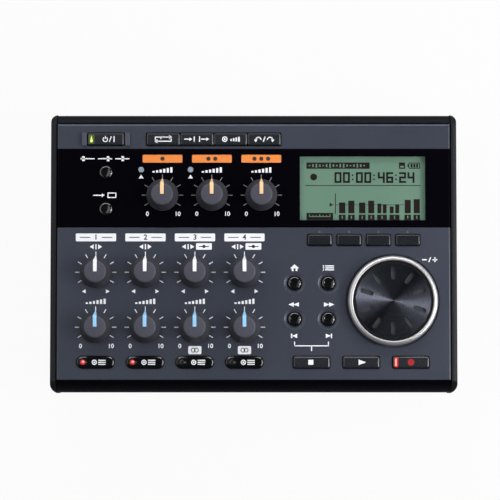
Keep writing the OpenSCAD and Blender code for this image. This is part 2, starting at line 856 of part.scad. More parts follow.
module data_wheel_face() {
    edge = 0.3;
    land = 0.8;
    dish = 0.5;
    sink = 0.6;
    cover = 1.4;
    slot_depth = 1;
    face_r = wheel_d / 2 - rim_t - seam;
    low = panel_z - pocket_h + wheel_lift;
    high = panel_z + wheel_h - sink;
    shaft_top = high - cover;
    color("#0d0d10") translate([dial_x, dial_y, 0]) difference() {
        rotate_extrude() polygon([
            [0, low], [face_r, low], [face_r, high - edge],
            [face_r - edge, high], [face_r - land, high], [0, high - dish]
        ]);
        for (i = [0:slot_count - 1]) rotate([0, 0, 90 + i * 360 / slot_count])
            translate([(slot_in + slot_out) / 2, 0, 0])
                upright(high - slot_depth, far) pill(slot_out - slot_in, slot_w);
        shaft(shaft_top, fit_gap);
    }
    color("#b9bbc0") translate([dial_x, dial_y, 0]) shaft(shaft_top);
}

// Outline of a key hole, or of the key itself when grow is minus the gap
module key_outline(k, grow) {
    if (k[1] == "round") circle(d = k[4] + 2 * grow);
    else if (k[1] == "pill") pill(k[4] + 2 * grow, k[5] + 2 * grow);
    else rounded_rect(k[4] + 2 * grow, k[5] + 2 * grow, key_r);
}

// Retaining flange under the plate: all round a round key, front and rear on the others
module flange_outline(k) {
    if (k[1] == "round") circle(d = k[4] + 2 * flange_lip);
    else square([k[4] - 2 * key_gap, k[5] + 2 * flange_lip], center = true);
}

module key(k) {
    flange_top = plate_z - flange_gap;
    color("#55565c") translate([k[2], k[3], 0]) {
        upright(flange_top - eps, panel_z + key_proud) key_outline(k, -key_gap);
        upright(flange_top - flange_t, flange_top) flange_outline(k);
        upright(flange_top - flange_t - stem_l, flange_top - flange_t + eps) circle(d = stem_d);
    }
}

module jack_plate() {
    color("#1b1b1f") difference() {
        block([jack_plate_left, jack_plate_y, jack_plate_z],
              [jack_plate_right, jack_plate_y + jack_plate_t, parting_z - seam]);
        for (i = [0:1]) {
            translate([jack_x + i * jack_pitch, 0, jack_z]) rod_y(2 * (jack_r + seam), 0, far);
            translate([mini_x + i * mini_pitch, 0, jack_z]) rod_y(2 * (mini_r + seam), 0, far);
        }
        translate([port_x, 0, board_z])
            block([-port_w / 2 - seam, 0, -port_t - seam], [port_w / 2 + seam, far, far]);
    }
}

// One socket: a housing under the board, a round collar through the jack plate and a blind bore
module socket(x, w, low, l, r, bore) {
    mouth = jack_plate_y;
    translate([x, 0, jack_z]) difference() {
        union() {
            block([-w / 2, mouth - l, -low], [w / 2, mouth, board_z - jack_z]);
            rod_y(2 * r, mouth - eps, collar_y);
        }
        rod_y(bore, mouth - l + socket_back, far);
    }
}

module rear_jacks() {
    color("#3a3a3d") for (i = [0:1]) {
        socket(jack_x + i * jack_pitch, jack_w, jack_low, jack_l, jack_r, jack_bore);
        socket(mini_x + i * mini_pitch, mini_w, mini_low, mini_l, mini_r, mini_bore);
    }
}

module usb_port() {
    skin = 0.45;
    back = 1;
    tab_inset = 1.6;
    tab_x = port_w / 2 - tab_inset;
    tab_t = 0.5;
    tab_set = 0.8;
    mouth = jack_plate_y + jack_plate_t - seam;
    color("#c9cbd0") translate([port_x, 0, board_z - port_t / 2]) difference() {
        block([-port_w / 2, mouth - port_l, -port_t / 2], [port_w / 2, mouth, port_t / 2]);
        difference() {
            block([-port_w / 2 + skin, mouth - port_l + back, -port_t / 2 + skin],
                  [port_w / 2 - skin, far, port_t / 2 - skin]);
            block([-tab_x, 0, -tab_t], [tab_x, mouth - tab_set, tab_t]);
        }
    }
}

module sd_socket() {
    back = 2;
    mouth = inner_x - pad_t - seam;
    color("#c9cbd0") translate([0, card_y, slot_z]) difference() {
        block([mouth - socket_l, -socket_w / 2, -socket_h / 2], [mouth, socket_w / 2, socket_h / 2]);
        block([mouth - socket_l + back, -card_w / 2 - 2 * seam, -card_t / 2 - seam],
              [far, card_w / 2 + 2 * seam, card_t / 2 + seam]);
    }
}

// Places of the two rows of cells
module at_rows() { for (i = [0:1]) translate([0, cell_front_y + i * cell_pitch, cell_z]) children(); }

module battery_cells() {
    nub_l = 1;
    nub_d = 5.5;
    color("#c2a14a") at_rows() for (s = [0:1]) translate([s > 0 ? seam : -seam - cell_l, 0, 0]) {
        rod_x(cell_d, 0, cell_l - nub_l);
        rod_x(nub_d, cell_l - nub_l - eps, cell_l);
    }
}

// A flat tab at each end of a row with a bowed leaf that presses on the cell
module battery_contacts() {
    leaf_t = 0.4;
    leaf_w = 5;
    leaf_half = 4;
    tab_y = cell_d / 2 - 1.5;
    tab_z = 4.5;
    back = bay_x - seam;
    reach = back - leaf_t - cell_l - 2 * seam;
    leaf_r = (reach * reach + leaf_half * leaf_half) / (2 * reach);
    tip = back - leaf_t - reach;
    color("#c9cbd0") at_rows() for (s = [0, 1]) mirror([s, 0, 0]) {
        block([back - leaf_t, -tab_y, -tab_z], [back, tab_y, tab_z]);
        along_y(-leaf_w / 2, leaf_w / 2) intersection() {
            translate([tip + leaf_r, 0]) difference() {
                circle(leaf_r);
                circle(leaf_r - leaf_t);
            }
            translate([tip - eps, -tab_z]) square([reach + leaf_t, 2 * tab_z]);
        }
    }
}

module rubber_feet() { color("#101012") at_feet() cylinder(d = foot_d, h = foot_h + foot_seat); }

// A cross recess cut into a screw head that faces down
module cross_cut() {
    for (a = [0, 90]) rotate([0, 0, a])
        translate([-cross_l / 2, -cross_w / 2, -eps]) cube([cross_l, cross_w, cross_h]);
}

module case_screws() {
    head_z = base_z + counterbore - head_h;
    color("#8e9095") {
        at_posts() translate([0, 0, head_z]) difference() {
            union() {
                cylinder(d = head_d, h = head_h);
                cylinder(d = screw_d, h = head_h + screw_l - tip_gap);
            }
            cross_cut();
        }
        for (side = [-1, 1]) at_cheek_screws(side)
            translate([case_w / 2 - seam, 0, 0]) rotate([0, -90, 0]) difference() {
                union() {
                    cylinder(d1 = head_d, d2 = screw_d, h = head_h);
                    cylinder(d = screw_d, h = head_h + cheek_screw_l);
                }
                cross_cut();
            }
    }
}

bottom_case();
top_case();
front_panel();
left_cheek();
right_cheek();
window_panel();
lcd_lens();
lcd_module();
panel_board();
rotary_pots();
encoder_body();
key_switches();
overload_lamps();
jack_plate();
rear_jacks();
usb_port();
sd_socket();
battery_contacts();
battery_cells();
microphones();
rubber_feet();
case_screws();
data_wheel_rim();
data_wheel_face();
battery_door();
sd_door();
for (k = knobs) knob(k);
for (k = keys) key(k);
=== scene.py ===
"""Looks of a pocket multitrack recorder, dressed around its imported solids.

Lengths are in metres, and in millimetres where a comment says so.
"""

import json
import math

import bmesh
import bpy
from mathutils import Matrix, Vector


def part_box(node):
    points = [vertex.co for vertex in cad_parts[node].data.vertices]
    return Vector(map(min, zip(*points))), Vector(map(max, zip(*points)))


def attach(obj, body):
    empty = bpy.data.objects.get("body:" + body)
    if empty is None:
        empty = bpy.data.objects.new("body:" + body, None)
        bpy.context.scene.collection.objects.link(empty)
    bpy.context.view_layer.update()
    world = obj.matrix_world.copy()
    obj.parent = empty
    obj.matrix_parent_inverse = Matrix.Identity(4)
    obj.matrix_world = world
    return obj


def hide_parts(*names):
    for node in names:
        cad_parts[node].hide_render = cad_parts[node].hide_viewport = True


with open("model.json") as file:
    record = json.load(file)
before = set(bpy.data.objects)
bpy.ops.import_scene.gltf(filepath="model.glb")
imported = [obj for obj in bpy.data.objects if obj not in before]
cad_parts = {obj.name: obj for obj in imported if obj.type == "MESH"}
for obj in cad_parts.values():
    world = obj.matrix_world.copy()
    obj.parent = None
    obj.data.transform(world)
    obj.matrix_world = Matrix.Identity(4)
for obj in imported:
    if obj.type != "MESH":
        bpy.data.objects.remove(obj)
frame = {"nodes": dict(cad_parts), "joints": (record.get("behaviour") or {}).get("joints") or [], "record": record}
scene = bpy.context.scene
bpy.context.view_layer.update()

MM = 0.001
BODY_OF = {node: body for body, nodes in frame["record"]["behaviour"]["bodies"].items() for node in nodes}
AXIS_OF = {j["child"]: Vector(j["pos_m"]) for j in frame["joints"] if j["type"] == "hinge"}
JACK_BORES = [mount for mount in frame["record"]["mounts"] if mount["kind"] == "bore"]

INPUT_KNOBS = ["input_a_knob", "input_b_knob", "master_knob"]
PAN_KNOBS = [f"pan_knob_{i}" for i in range(1, 5)]
LEVEL_KNOBS = [f"level_knob_{i}" for i in range(1, 5)]
FUNCTION_KEYS = [f"function_key_{i}" for i in range(1, 5)]
SOFT_KEYS = [f"soft_key_{i}" for i in range(1, 5)]
TRACK_KEYS = [f"track_key_{i}" for i in range(1, 5)]
LIT_TRACK_KEYS = TRACK_KEYS[:2]
TRANSPORT_KEYS = ["stop_key", "play_key", "record_key"]
ROUND_KEYS = ["home_key", "menu_key", "rewind_key", "forward_key", "input_setting_key", "assign_key"]

PANEL_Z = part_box("window_panel")[1].z
KEY_TOP_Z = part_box("stop_key")[1].z
GLASS_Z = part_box("lcd_module")[1].z
PRINT_T = 0.03 * MM
PRINT_SINK = 0.01 * MM
KEY_PRINT_SINK = 0.08 * MM


def middle(node):
    low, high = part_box(node)
    return (low + high) / 2


# Colours

def srgb(red, green, blue):
    """A colour as a picture shows it, 0 to 255, in the linear values that shaders take."""
    def linear(value):
        value /= 255
        return value / 12.92 if value <= 0.04045 else ((value + 0.055) / 1.055) ** 2.4
    return (linear(red), linear(green), linear(blue), 1.0)


# Shader nodes and groups

NOISE_LOW = 0.3
NOISE_HIGH = 0.7
CLOUD_SCALE = 60.0
GRAIN_DEPTH = 0.05 * MM
FLAKE_SCALE = 5200.0
FLAKE_DEPTH = 0.02 * MM
FLAKE_TILT = 0.12
PAINT_CLOUD_SCALE = 25.0
PAINT_CLOUDING = 0.12


def new_group(name, inputs, outputs):
    group = bpy.data.node_groups.new(name, "ShaderNodeTree")
    for socket, kind in inputs:
        group.interface.new_socket(name=socket, in_out="INPUT", socket_type=kind)
    for socket, kind in outputs:
        group.interface.new_socket(name=socket, in_out="OUTPUT", socket_type=kind)
    return group, group.nodes.new("NodeGroupInput"), group.nodes.new("NodeGroupOutput")


def feed(tree, socket, value):
    """Sets a socket, or links it where the value comes from another node."""
    if isinstance(value, (int, float, tuple)):
        socket.default_value = value
    else:
        tree.links.new(value, socket)


def set_sockets(tree, node, values):
    """Sets or links several sockets of a node by name."""
    for socket, value in values.items():
        feed(tree, node.inputs[socket], value)


def math_node(tree, operation, first, second):
    node = tree.nodes.new("ShaderNodeMath")
    node.operation = operation
    feed(tree, node.inputs[0], first)
    feed(tree, node.inputs[1], second)
    return node.outputs[0]


def mix_colour(tree, factor, first, second, blend="MIX"):
    node = tree.nodes.new("ShaderNodeMix")
    node.data_type = "RGBA"
    node.blend_type = blend
    feed(tree, node.inputs[0], factor)
    feed(tree, node.inputs[6], first)
    feed(tree, node.inputs[7], second)
    return node.outputs[2]


def noise(tree, vector, scale, detail=3.0):
    node = tree.nodes.new("ShaderNodeTexNoise")
    set_sockets(tree, node, {"Vector": vector, "Scale": scale, "Detail": detail})
    return node.outputs["Fac"]


def map_range(tree, value, start, end, low, high):
    node = tree.nodes.new("ShaderNodeMapRange")
    set_sockets(tree, node, {"Value": value, "From Min": start, "From Max": end,
                             "To Min": low, "To Max": high})
    return node.outputs["Result"]


def spread(tree, value, low, high):
    """Maps the useful middle of a noise onto low to high."""
    return map_range(tree, value, NOISE_LOW, NOISE_HIGH, low, high)


def bump(tree, height, strength, distance):
    node = tree.nodes.new("ShaderNodeBump")
    set_sockets(tree, node, {"Height": height, "Strength": strength, "Distance": distance})
    return node.outputs["Normal"]


def object_coordinates(tree):
    return tree.nodes.new("ShaderNodeTexCoord").outputs["Object"]


def split_vector(tree, vector):
    node = tree.nodes.new("ShaderNodeSeparateXYZ")
    tree.links.new(vector, node.inputs[0])
    return node.outputs


def tinted(tree, colour, level):
    """The colour, darker or lighter by a level around 1."""
    grey = tree.nodes.new("ShaderNodeCombineColor")
    for socket in grey.inputs:
        tree.links.new(level, socket)
    return mix_colour(tree, 1.0, colour, grey.outputs[0], "MULTIPLY")


def around_zero(tree, value, amount):
    return math_node(tree, "MULTIPLY", math_node(tree, "SUBTRACT", value, 0.5), amount)


def moulded_grain_group():
    """Fine moulded texture: clouded colour, uneven gloss and a shallow grain."""
    group, given, result = new_group(
        "moulded_grain",
        [("Colour", "NodeSocketColor"), ("Clouding", "NodeSocketFloat"), ("Grain scale", "NodeSocketFloat"),
         ("Gloss from", "NodeSocketFloat"), ("Gloss to", "NodeSocketFloat"), ("Relief", "NodeSocketFloat")],
        [("Colour", "NodeSocketColor"), ("Roughness", "NodeSocketFloat"), ("Normal", "NodeSocketVector")])
    place = object_coordinates(group)
    clouds = noise(group, place, CLOUD_SCALE)
    grain = noise(group, place, given.outputs["Grain scale"], 2.0)
    shade = math_node(group, "ADD", around_zero(group, clouds, given.outputs["Clouding"]),
                      around_zero(group, grain, given.outputs["Clouding"]))
    colour = tinted(group, given.outputs["Colour"], math_node(group, "ADD", 1.0, shade))
    gloss = spread(group, grain, given.outputs["Gloss from"], given.outputs["Gloss to"])
    relief = bump(group, grain, given.outputs["Relief"], GRAIN_DEPTH)
    set_sockets(group, result, {"Colour": colour, "Roughness": gloss, "Normal": relief})
    return group


def flake_group():
    """Metallic paint: tiny flakes that catch the light by turns."""
    group, given, result = new_group(
        "paint_flakes", [("Colour", "NodeSocketColor"), ("Sparkle", "NodeSocketFloat")],
        [("Colour", "NodeSocketColor"), ("Roughness", "NodeSocketFloat"), ("Normal", "NodeSocketVector")])
    place = object_coordinates(group)
    cells = group.nodes.new("ShaderNodeTexVoronoi")
    set_sockets(group, cells, {"Vector": place, "Scale": FLAKE_SCALE})
    split = group.nodes.new("ShaderNodeSeparateColor")
    group.links.new(cells.outputs["Color"], split.inputs[0])
    clouds = noise(group, place, PAINT_CLOUD_SCALE)
    shade = math_node(group, "ADD", around_zero(group, split.outputs[0], given.outputs["Sparkle"]),
                      around_zero(group, clouds, PAINT_CLOUDING))
    colour = tinted(group, given.outputs["Colour"], math_node(group, "ADD", 1.0, shade))
    gloss = spread(group, clouds, 0.32, 0.4)
    tilt = bump(group, split.outputs[1], FLAKE_TILT, FLAKE_DEPTH)
    set_sockets(group, result, {"Colour": colour, "Roughness": gloss, "Normal": tilt})
    return group


GRAIN = moulded_grain_group()
FLAKES = flake_group()


# Materials

RING_SCALE = 9000.0
DOT_PITCH = 0.37 * MM
DOT_GAP = 0.02 * MM
# Distances back from the rear edge where the shoulder's painted shade starts and where it is deepest
SHOULDER_SHADE_START = 4.6 * MM
SHOULDER_SHADE_END = 0.6 * MM
CELL_BAND_START = 0.72


def principled(material):
    return material.node_tree.nodes["Principled BSDF"]


def plain_material(name):
    material = bpy.data.materials.new(name)
    material.use_nodes = True
    return material, material.node_tree, principled(material)


def grouped_material(name, group, values):
    """A material whose colour, gloss and grain come from a group."""
    material, tree, shader = plain_material(name)
    node = tree.nodes.new("ShaderNodeGroup")
    node.node_tree = group
    set_sockets(tree, node, values)
    set_sockets(tree, shader, {"Base Color": node.outputs["Colour"], "Roughness": node.outputs["Roughness"],
                               "Normal": node.outputs["Normal"]})
    return material, shader


def grained(name, colour, gloss=(0.45, 0.6), grain=3200.0, clouding=0.12, relief=0.3, specular=0.5):
    material, shader = grouped_material(
        name, GRAIN, {"Colour": colour, "Clouding": clouding, "Grain scale": grain,
                      "Gloss from": gloss[0], "Gloss to": gloss[1], "Relief": relief})
    shader.inputs["Specular IOR Level"].default_value = specular
    return material


def printed(name, colour):
    """Flat ink on paint or plastic."""
    return grained(name, colour, (0.45, 0.55), 2500.0, 0.06, 0.1)


def moulded_pointer(name, colour):
    """Coloured plastic of a knob's pointer."""
    return grained(name, colour, (0.4, 0.5), 2500.0, 0.06, 0.1)


def display_ink(name, colour):
    """Segments of the display, with little gloss of their own under the lens."""
    return grained(name, colour, (0.35, 0.45), 2500.0, 0.1, 0.05, 0.15)


def metal(name, colour, gloss, grain=900.0, relief=0.1, metallic=1.0):
    material = grained(name, colour, gloss, grain, 0.1, relief)
    principled(material).inputs["Metallic"].default_value = metallic
    return material


def glowing(name, colour, strength):
    material = grained(name, colour, (0.2, 0.3), 1500.0, 0.1, 0.05)
    set_sockets(material.node_tree, principled(material),
                {"Emission Color": colour, "Emission Strength": strength})
    return material


def flaked_paint(name, colour):
    material, shader = grouped_material(name, FLAKES, {"Colour": colour, "Sparkle": 0.22})
    shader.inputs["Metallic"].default_value = 0.2
    return material


def spun_black():
    """Black metal turned on a lathe: fine rings round the wheel's axis."""
    material, tree, shader = plain_material("spun_black")
    axis = AXIS_OF["data_wheel"]
    mapping = tree.nodes.new("ShaderNodeMapping")
    set_sockets(tree, mapping, {"Vector": object_coordinates(tree), "Location": (-axis.x, -axis.y, 0),
                                "Scale": (1, 1, 0)})
    length = tree.nodes.new("ShaderNodeVectorMath")
    length.operation = "LENGTH"
    tree.links.new(mapping.outputs["Vector"], length.inputs[0])
    radius = tree.nodes.new("ShaderNodeCombineXYZ")
    tree.links.new(length.outputs["Value"], radius.inputs["X"])
    rings = noise(tree, radius.outputs[0], RING_SCALE, 2.0)
    colour = mix_colour(tree, rings, srgb(74, 77, 86), srgb(104, 107, 121))
    tangent = tree.nodes.new("ShaderNodeTangent")
    tangent.direction_type = "RADIAL"
    tangent.axis = "Z"
    set_sockets(tree, shader, {
        "Base Color": colour, "Roughness": spread(tree, rings, 0.25, 0.31), "Metallic": 1.0,
        "Anisotropic": 0.95, "Anisotropic Rotation": 0.25, "Tangent": tangent.outputs["Tangent"]})
    return material


def clear_lens():
    material, tree, shader = plain_material("clear_lens")
    smudge = noise(tree, object_coordinates(tree), 90.0)
    set_sockets(tree, shader, {"Base Color": (0.02, 0.03, 0.025, 1), "Alpha": 0.05,
                               "Roughness": spread(tree, smudge, 0.03, 0.07)})
    return material


def display_face():
    """Grey-green display with a faint grid of dots."""
    material, tree, shader = plain_material("display_face")
    place = object_coordinates(tree)
    across = split_vector(tree, place)
    lines = [math_node(tree, "PINGPONG", across[i], DOT_PITCH / 2) for i in range(2)]
    gap = math_node(tree, "LESS_THAN", math_node(tree, "MINIMUM", lines[0], lines[1]), DOT_GAP)
    clouds = noise(tree, place, 30.0, 1.0)
    base = mix_colour(tree, clouds, srgb(100, 132, 114), srgb(112, 143, 125))
    colour = mix_colour(tree, math_node(tree, "MULTIPLY", gap, 0.25), base, srgb(121, 152, 134))
    set_sockets(tree, shader, {
        "Base Color": colour, "Emission Color": colour, "Emission Strength": 0.14,
        "Specular IOR Level": 0.15, "Roughness": spread(tree, clouds, 0.35, 0.45)})
    return material


def shoulder_painted_shade():
    """Paint of the rear shoulder, darker than the plate's grey as painted shade, and darker still towards the rear
    edge, where the curve faces away from the light.
    """
    material, tree, shader = plain_material("shoulder_painted_shade")
    place = object_coordinates(tree)
    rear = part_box("top_case")[1].y
    # Painted shade: darker from the plate's side towards the rear edge
    depth = map_range(tree, split_vector(tree, place)[1],
                      rear - SHOULDER_SHADE_START, rear - SHOULDER_SHADE_END, 0.0, 1.0)
    colour = mix_colour(tree, depth, srgb(34, 39, 45), srgb(8, 10, 11))
    grain = noise(tree, place, 3000.0, 2.0)
    set_sockets(tree, shader, {
        "Base Color": tinted(tree, colour, spread(tree, grain, 0.94, 1.06)),
        "Roughness": spread(tree, grain, 0.4, 0.5), "Specular IOR Level": 0.08})
    return material


def cell_jacket():
    """Printed sleeve of a battery cell, dark with a copper-coloured end."""
    material, tree, shader = plain_material("cell_jacket")
    place = object_coordinates(tree)
    low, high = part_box("battery_cells")
    cell = (high.x - low.x) / 2
    along = math_node(tree, "MODULO", math_node(tree, "SUBTRACT", split_vector(tree, place)[0], low.x), cell)
    band = math_node(tree, "GREATER_THAN", along, CELL_BAND_START * cell)
    colour = mix_colour(tree, band, srgb(30, 31, 34), srgb(178, 108, 62))
    scuff = noise(tree, place, 700.0)
    worn = mix_colour(tree, math_node(tree, "MULTIPLY", scuff, 0.2), colour, srgb(90, 90, 90))
    set_sockets(tree, shader, {"Base Color": worn, "Roughness": spread(tree, scuff, 0.25, 0.4),
                               "Metallic": 0.6})
    return material


PAINT = flaked_paint("grey_paint", srgb(60, 65, 78))
GUARD_PAINT = flaked_paint("guard_paint", srgb(78, 82, 97))
# Shoulder paint with painted shade
SHADED_SHOULDER = shoulder_painted_shade()
GLOSS_BLACK = grained("gloss_black", srgb(6, 5, 10), (0.06, 0.1), 400.0, 0.05, 0.01, 0.1)
FRONT_BLACK = grained("front_black", srgb(5, 4, 9), (0.12, 0.16), 400.0, 0.05, 0.01, 0.15)
BASE_PLASTIC = grained("base_plastic", srgb(30, 30, 33), (0.5, 0.65), 2600.0, 0.15, 0.5)
CHEEK_PLASTIC = grained("cheek_plastic", srgb(25, 26, 30), (0.4, 0.5), 2600.0, 0.1, 0.12, 0.2)
# The knobs are one grey: the body takes a darker copy as painted shade on its sides, the cap a lighter copy as
# painted light on its top
KNOB_BODY_SHADED = grained("knob_body_shaded", srgb(52, 53, 60), (0.5, 0.65), 3600.0, 0.12, 0.3, 0.35)
KNOB_CAP_LIT = grained("knob_cap_lit", srgb(66, 67, 79), (0.5, 0.65), 3600.0, 0.12, 0.3)
KEY_PLASTIC = grained("key_plastic", srgb(34, 37, 42), (0.24, 0.32), 2800.0, 0.1, 0.1)
SOFT_KEY = grained("soft_key", srgb(25, 28, 33), (0.24, 0.32), 2800.0, 0.1, 0.1)
DARK_KEY = grained("dark_key", srgb(12, 13, 16), (0.12, 0.18), 2800.0, 0.1, 0.05)
POLISHED_KEY = grained("polished_key", srgb(10, 11, 13), (0.08, 0.12), 2800.0, 0.1, 0.03, 1.0)
# Painted shade for the dark gaps round the keys and between the wheel's face and rim
GAP_SHADE = grained("painted_gap_shade", srgb(12, 12, 14), (0.5, 0.6), 2800.0, 0.1, 0.1, 0.2)
STEEL = metal("plated_steel", srgb(200, 201, 205), (0.22, 0.36))
SCREW_STEEL = metal("dark_screw", srgb(70, 71, 75), (0.3, 0.45))
SILVER = metal("silver_rim", srgb(212, 211, 212), (0.36, 0.44), 2500.0, 0.03, 0.82)
SLOT_BLACK = grained("wheel_slot", srgb(66, 70, 74), (0.45, 0.6), 2600.0, 0.1, 0.2, 0.3)
SPUN = spun_black()
RUBBER = grained("foot_rubber", srgb(24, 24, 26), (0.75, 0.9), 1600.0, 0.2, 0.6)
BOARD = grained("circuit_board", srgb(32, 92, 58), (0.3, 0.45), 900.0, 0.3, 0.2)
CONTROL = grained("control_body", srgb(52, 60, 76), (0.35, 0.5), 1400.0, 0.15, 0.2)
JACK = grained("jack_plastic", srgb(34, 34, 37), (0.4, 0.55), 2200.0, 0.12, 0.3)
LENS = clear_lens()
DISPLAY = display_face()
CELL = cell_jacket()
LAMP = glowing("lamp_lens", srgb(140, 154, 168), 0.1)
LIT_RED = glowing("lit_red", srgb(196, 40, 40), 0.32)
LIT_PINK = glowing("lit_pink", srgb(255, 150, 142), 0.8)
LIT_OLIVE = glowing("lit_olive", srgb(76, 90, 44), 0.15)
LIT_GREEN = glowing("lit_green", srgb(208, 226, 134), 0.55)
UNLIT = grained("unlit_lamp", srgb(34, 32, 34), (0.15, 0.25), 1500.0, 0.1, 0.05)
RED_MARK = grained("red_mark", srgb(164, 27, 33), (0.4, 0.5), 2500.0, 0.1, 0.1)
WHITE_PRINT = printed("white_print", srgb(242, 244, 248))
TICK_PRINT = printed("tick_print", srgb(226, 228, 232))
GREY_PRINT = printed("grey_print", srgb(120, 120, 124))
ORANGE_PRINT = printed("orange_print", srgb(236, 138, 62))
DARK_PRINT = printed("dark_print", srgb(52, 40, 40))
SEGMENT = display_ink("display_segment", srgb(36, 26, 26))
PALE_SEGMENT = display_ink("display_light", srgb(112, 144, 126))
POINTER_ORANGE = moulded_pointer("pointer_orange", srgb(255, 210, 162))
POINTER_WHITE = moulded_pointer("pointer_white", srgb(250, 251, 254))
POINTER_BLUE = moulded_pointer("pointer_blue", srgb(156, 208, 246))


# Pieces

MERGE_GAP = 0.002 * MM
SEAM_GAP = 0.001 * MM
FLAT_ANGLE = math.radians(0.5)
CRISP_ANGLE = math.radians(28)
CORNER_STEPS = 8
FACES_UP = 0.9
FACES_DOWN = -0.5


def in_mm(profile):
    """A profile that is written in millimetres, in metres."""
    return [(across * MM, up * MM) for across, up in profile]


def added(items, old):
    """The vertices, edges or faces that weren't there before, in their own order."""
    return [item for item in items if item not in old]


def verts_of(geometry):
    return [item for item in geometry if isinstance(item, bmesh.types.BMVert)]


def cut_across(shape, y):
    """Cuts every face along an upright plane that runs from side to side."""
    bmesh.ops.bisect_plane(shape, geom=shape.verts[:] + shape.edges[:] + shape.faces[:],
                           plane_co=(0, y, 0), plane_no=(0, 1, 0))


def new_piece(name, shape, materials, body):
    """Turns a bmesh into a piece that rides on its body."""
    mesh = bpy.data.meshes.new(name)
    shape.to_mesh(mesh)
    shape.free()
    for material in materials:
        mesh.materials.append(material)
    piece = bpy.data.objects.new(name, mesh)
    scene.collection.objects.link(piece)
    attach(piece, body)
    return piece


def finished(name, shape, materials, body, crease=38):
    """A new piece, with flat faces kept flat in the shading."""
    bmesh.ops.recalc_face_normals(shape, faces=shape.faces)
    piece = new_piece(name, shape, materials, body)
    piece.data.shade_smooth()
    piece.data.set_sharp_from_angle(angle=math.radians(crease))
    piece.modifiers.new("flat_faces", "WEIGHTED_NORMAL").keep_sharp = True
    return piece


def dressed(node, materials, edge=0.0, segments=2, crease=30):
    """A merged copy of a node's solid, with its outer edges rounded where an edge width is given, which stands for
    the node.
    """
    shape = bmesh.new()
    shape.from_mesh(frame["nodes"][node].data)
    bmesh.ops.remove_doubles(shape, verts=shape.verts, dist=MERGE_GAP)
    bmesh.ops.dissolve_limit(shape, angle_limit=FLAT_ANGLE, verts=shape.verts, edges=shape.edges)
    weight = shape.edges.layers.float.new("bevel_weight_edge")
    sharp = math.radians(crease)
    for line in shape.edges:
        outer = line.is_manifold and line.is_convex and line.calc_face_angle() > sharp
        line[weight] = 1.0 if outer else 0.0
        line.smooth = not line.is_manifold or line.calc_face_angle() < sharp
    for face in shape.faces:
        face.smooth = True
        face.material_index = 0
    piece = new_piece(node + "_dressed", shape, materials, BODY_OF[node])
    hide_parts(node)
    if edge:
        rounding = piece.modifiers.new("rounded_edges", "BEVEL")
        rounding.width = edge
        rounding.segments = segments
        rounding.limit_method = "WEIGHT"
        rounding.use_clamp_overlap = False
        rounding.loop_slide = False
        rounding.harden_normals = True
    return piece


def turned(shape, profile, place, steps, rounding=0.0):
    """Adds a solid of revolution, drawn as radius and height about the upright axis of its place."""
    old = {*shape.verts, *shape.edges, *shape.faces}
    points = [shape.verts.new((r, 0, z)) for r, z in profile]
    edges = [shape.edges.new(pair) for pair in zip(points, points[1:])]
    bmesh.ops.spin(shape, geom=points + edges, cent=(0, 0, 0), axis=(0, 0, 1), angle=math.tau, steps=steps,
                   use_merge=True)
    bmesh.ops.remove_doubles(shape, verts=added(shape.verts, old), dist=SEAM_GAP)
    bmesh.ops.recalc_face_normals(shape, faces=added(shape.faces, old))
    if rounding:
        crisp = [e for e in added(shape.edges, old) if e.is_manifold and e.calc_face_angle() > CRISP_ANGLE]
        bmesh.ops.bevel(shape, geom=crisp, offset=rounding, offset_type="OFFSET", affect="EDGES", segments=3,
                        profile=0.5, material=-1, clamp_overlap=True)
    bmesh.ops.transform(shape, matrix=place, verts=added(shape.verts, old))


def rounded_prism(shape, x, y, w, d, corner, z0, z1):
    """Adds an upright block with rounded corners."""
    old = set(shape.faces)
    square = bmesh.ops.create_grid(shape, x_segments=1, y_segments=1, size=0.5,
                                   matrix=Matrix.Translation((x, y, z0)) @ Matrix.Diagonal((w, d, 1, 1)))
    bmesh.ops.bevel(shape, geom=square["verts"], offset=corner, offset_type="OFFSET", affect="VERTICES",
                    segments=CORNER_STEPS, profile=0.5, material=-1)
    top = verts_of(bmesh.ops.extrude_face_region(shape, geom=added(shape.faces, old))["geom"])
    bmesh.ops.translate(shape, verts=top, vec=(0, 0, z1 - z0))
    bmesh.ops.recalc_face_normals(shape, faces=added(shape.faces, old))


# Case

SHOULDER_D = 4.65 * MM
PLATE_ROLL_REACH = 0.5 * MM
PLATE_ROLL_R = 1.54 * MM
PLATE_ROLL_END = 0.4 * MM
PLATE_ROLL_CUTS = [step * MM for step in (0.0, 0.2, 0.35, 0.65, 0.8)]
PLATE_ROLL_DROP = 0.6 * MM
PLATE_SIDE_EDGE = 0.4 * MM
PLATE_HOLE_EDGE = 0.22 * MM
PLATE_SIDE_NEAR = 0.05 * MM
REAR_EDGE_NEAR = 0.01 * MM
GUARD_FOOT = 0.3 * MM
JACK_RING_PROUD = 0.1 * MM
JACK_RING_DEEP = 3.0 * MM
JACK_RING_GAP = 0.02 * MM
JACK_RING_SHARE = 1.22
JACK_RING_EDGE = 0.06 * MM


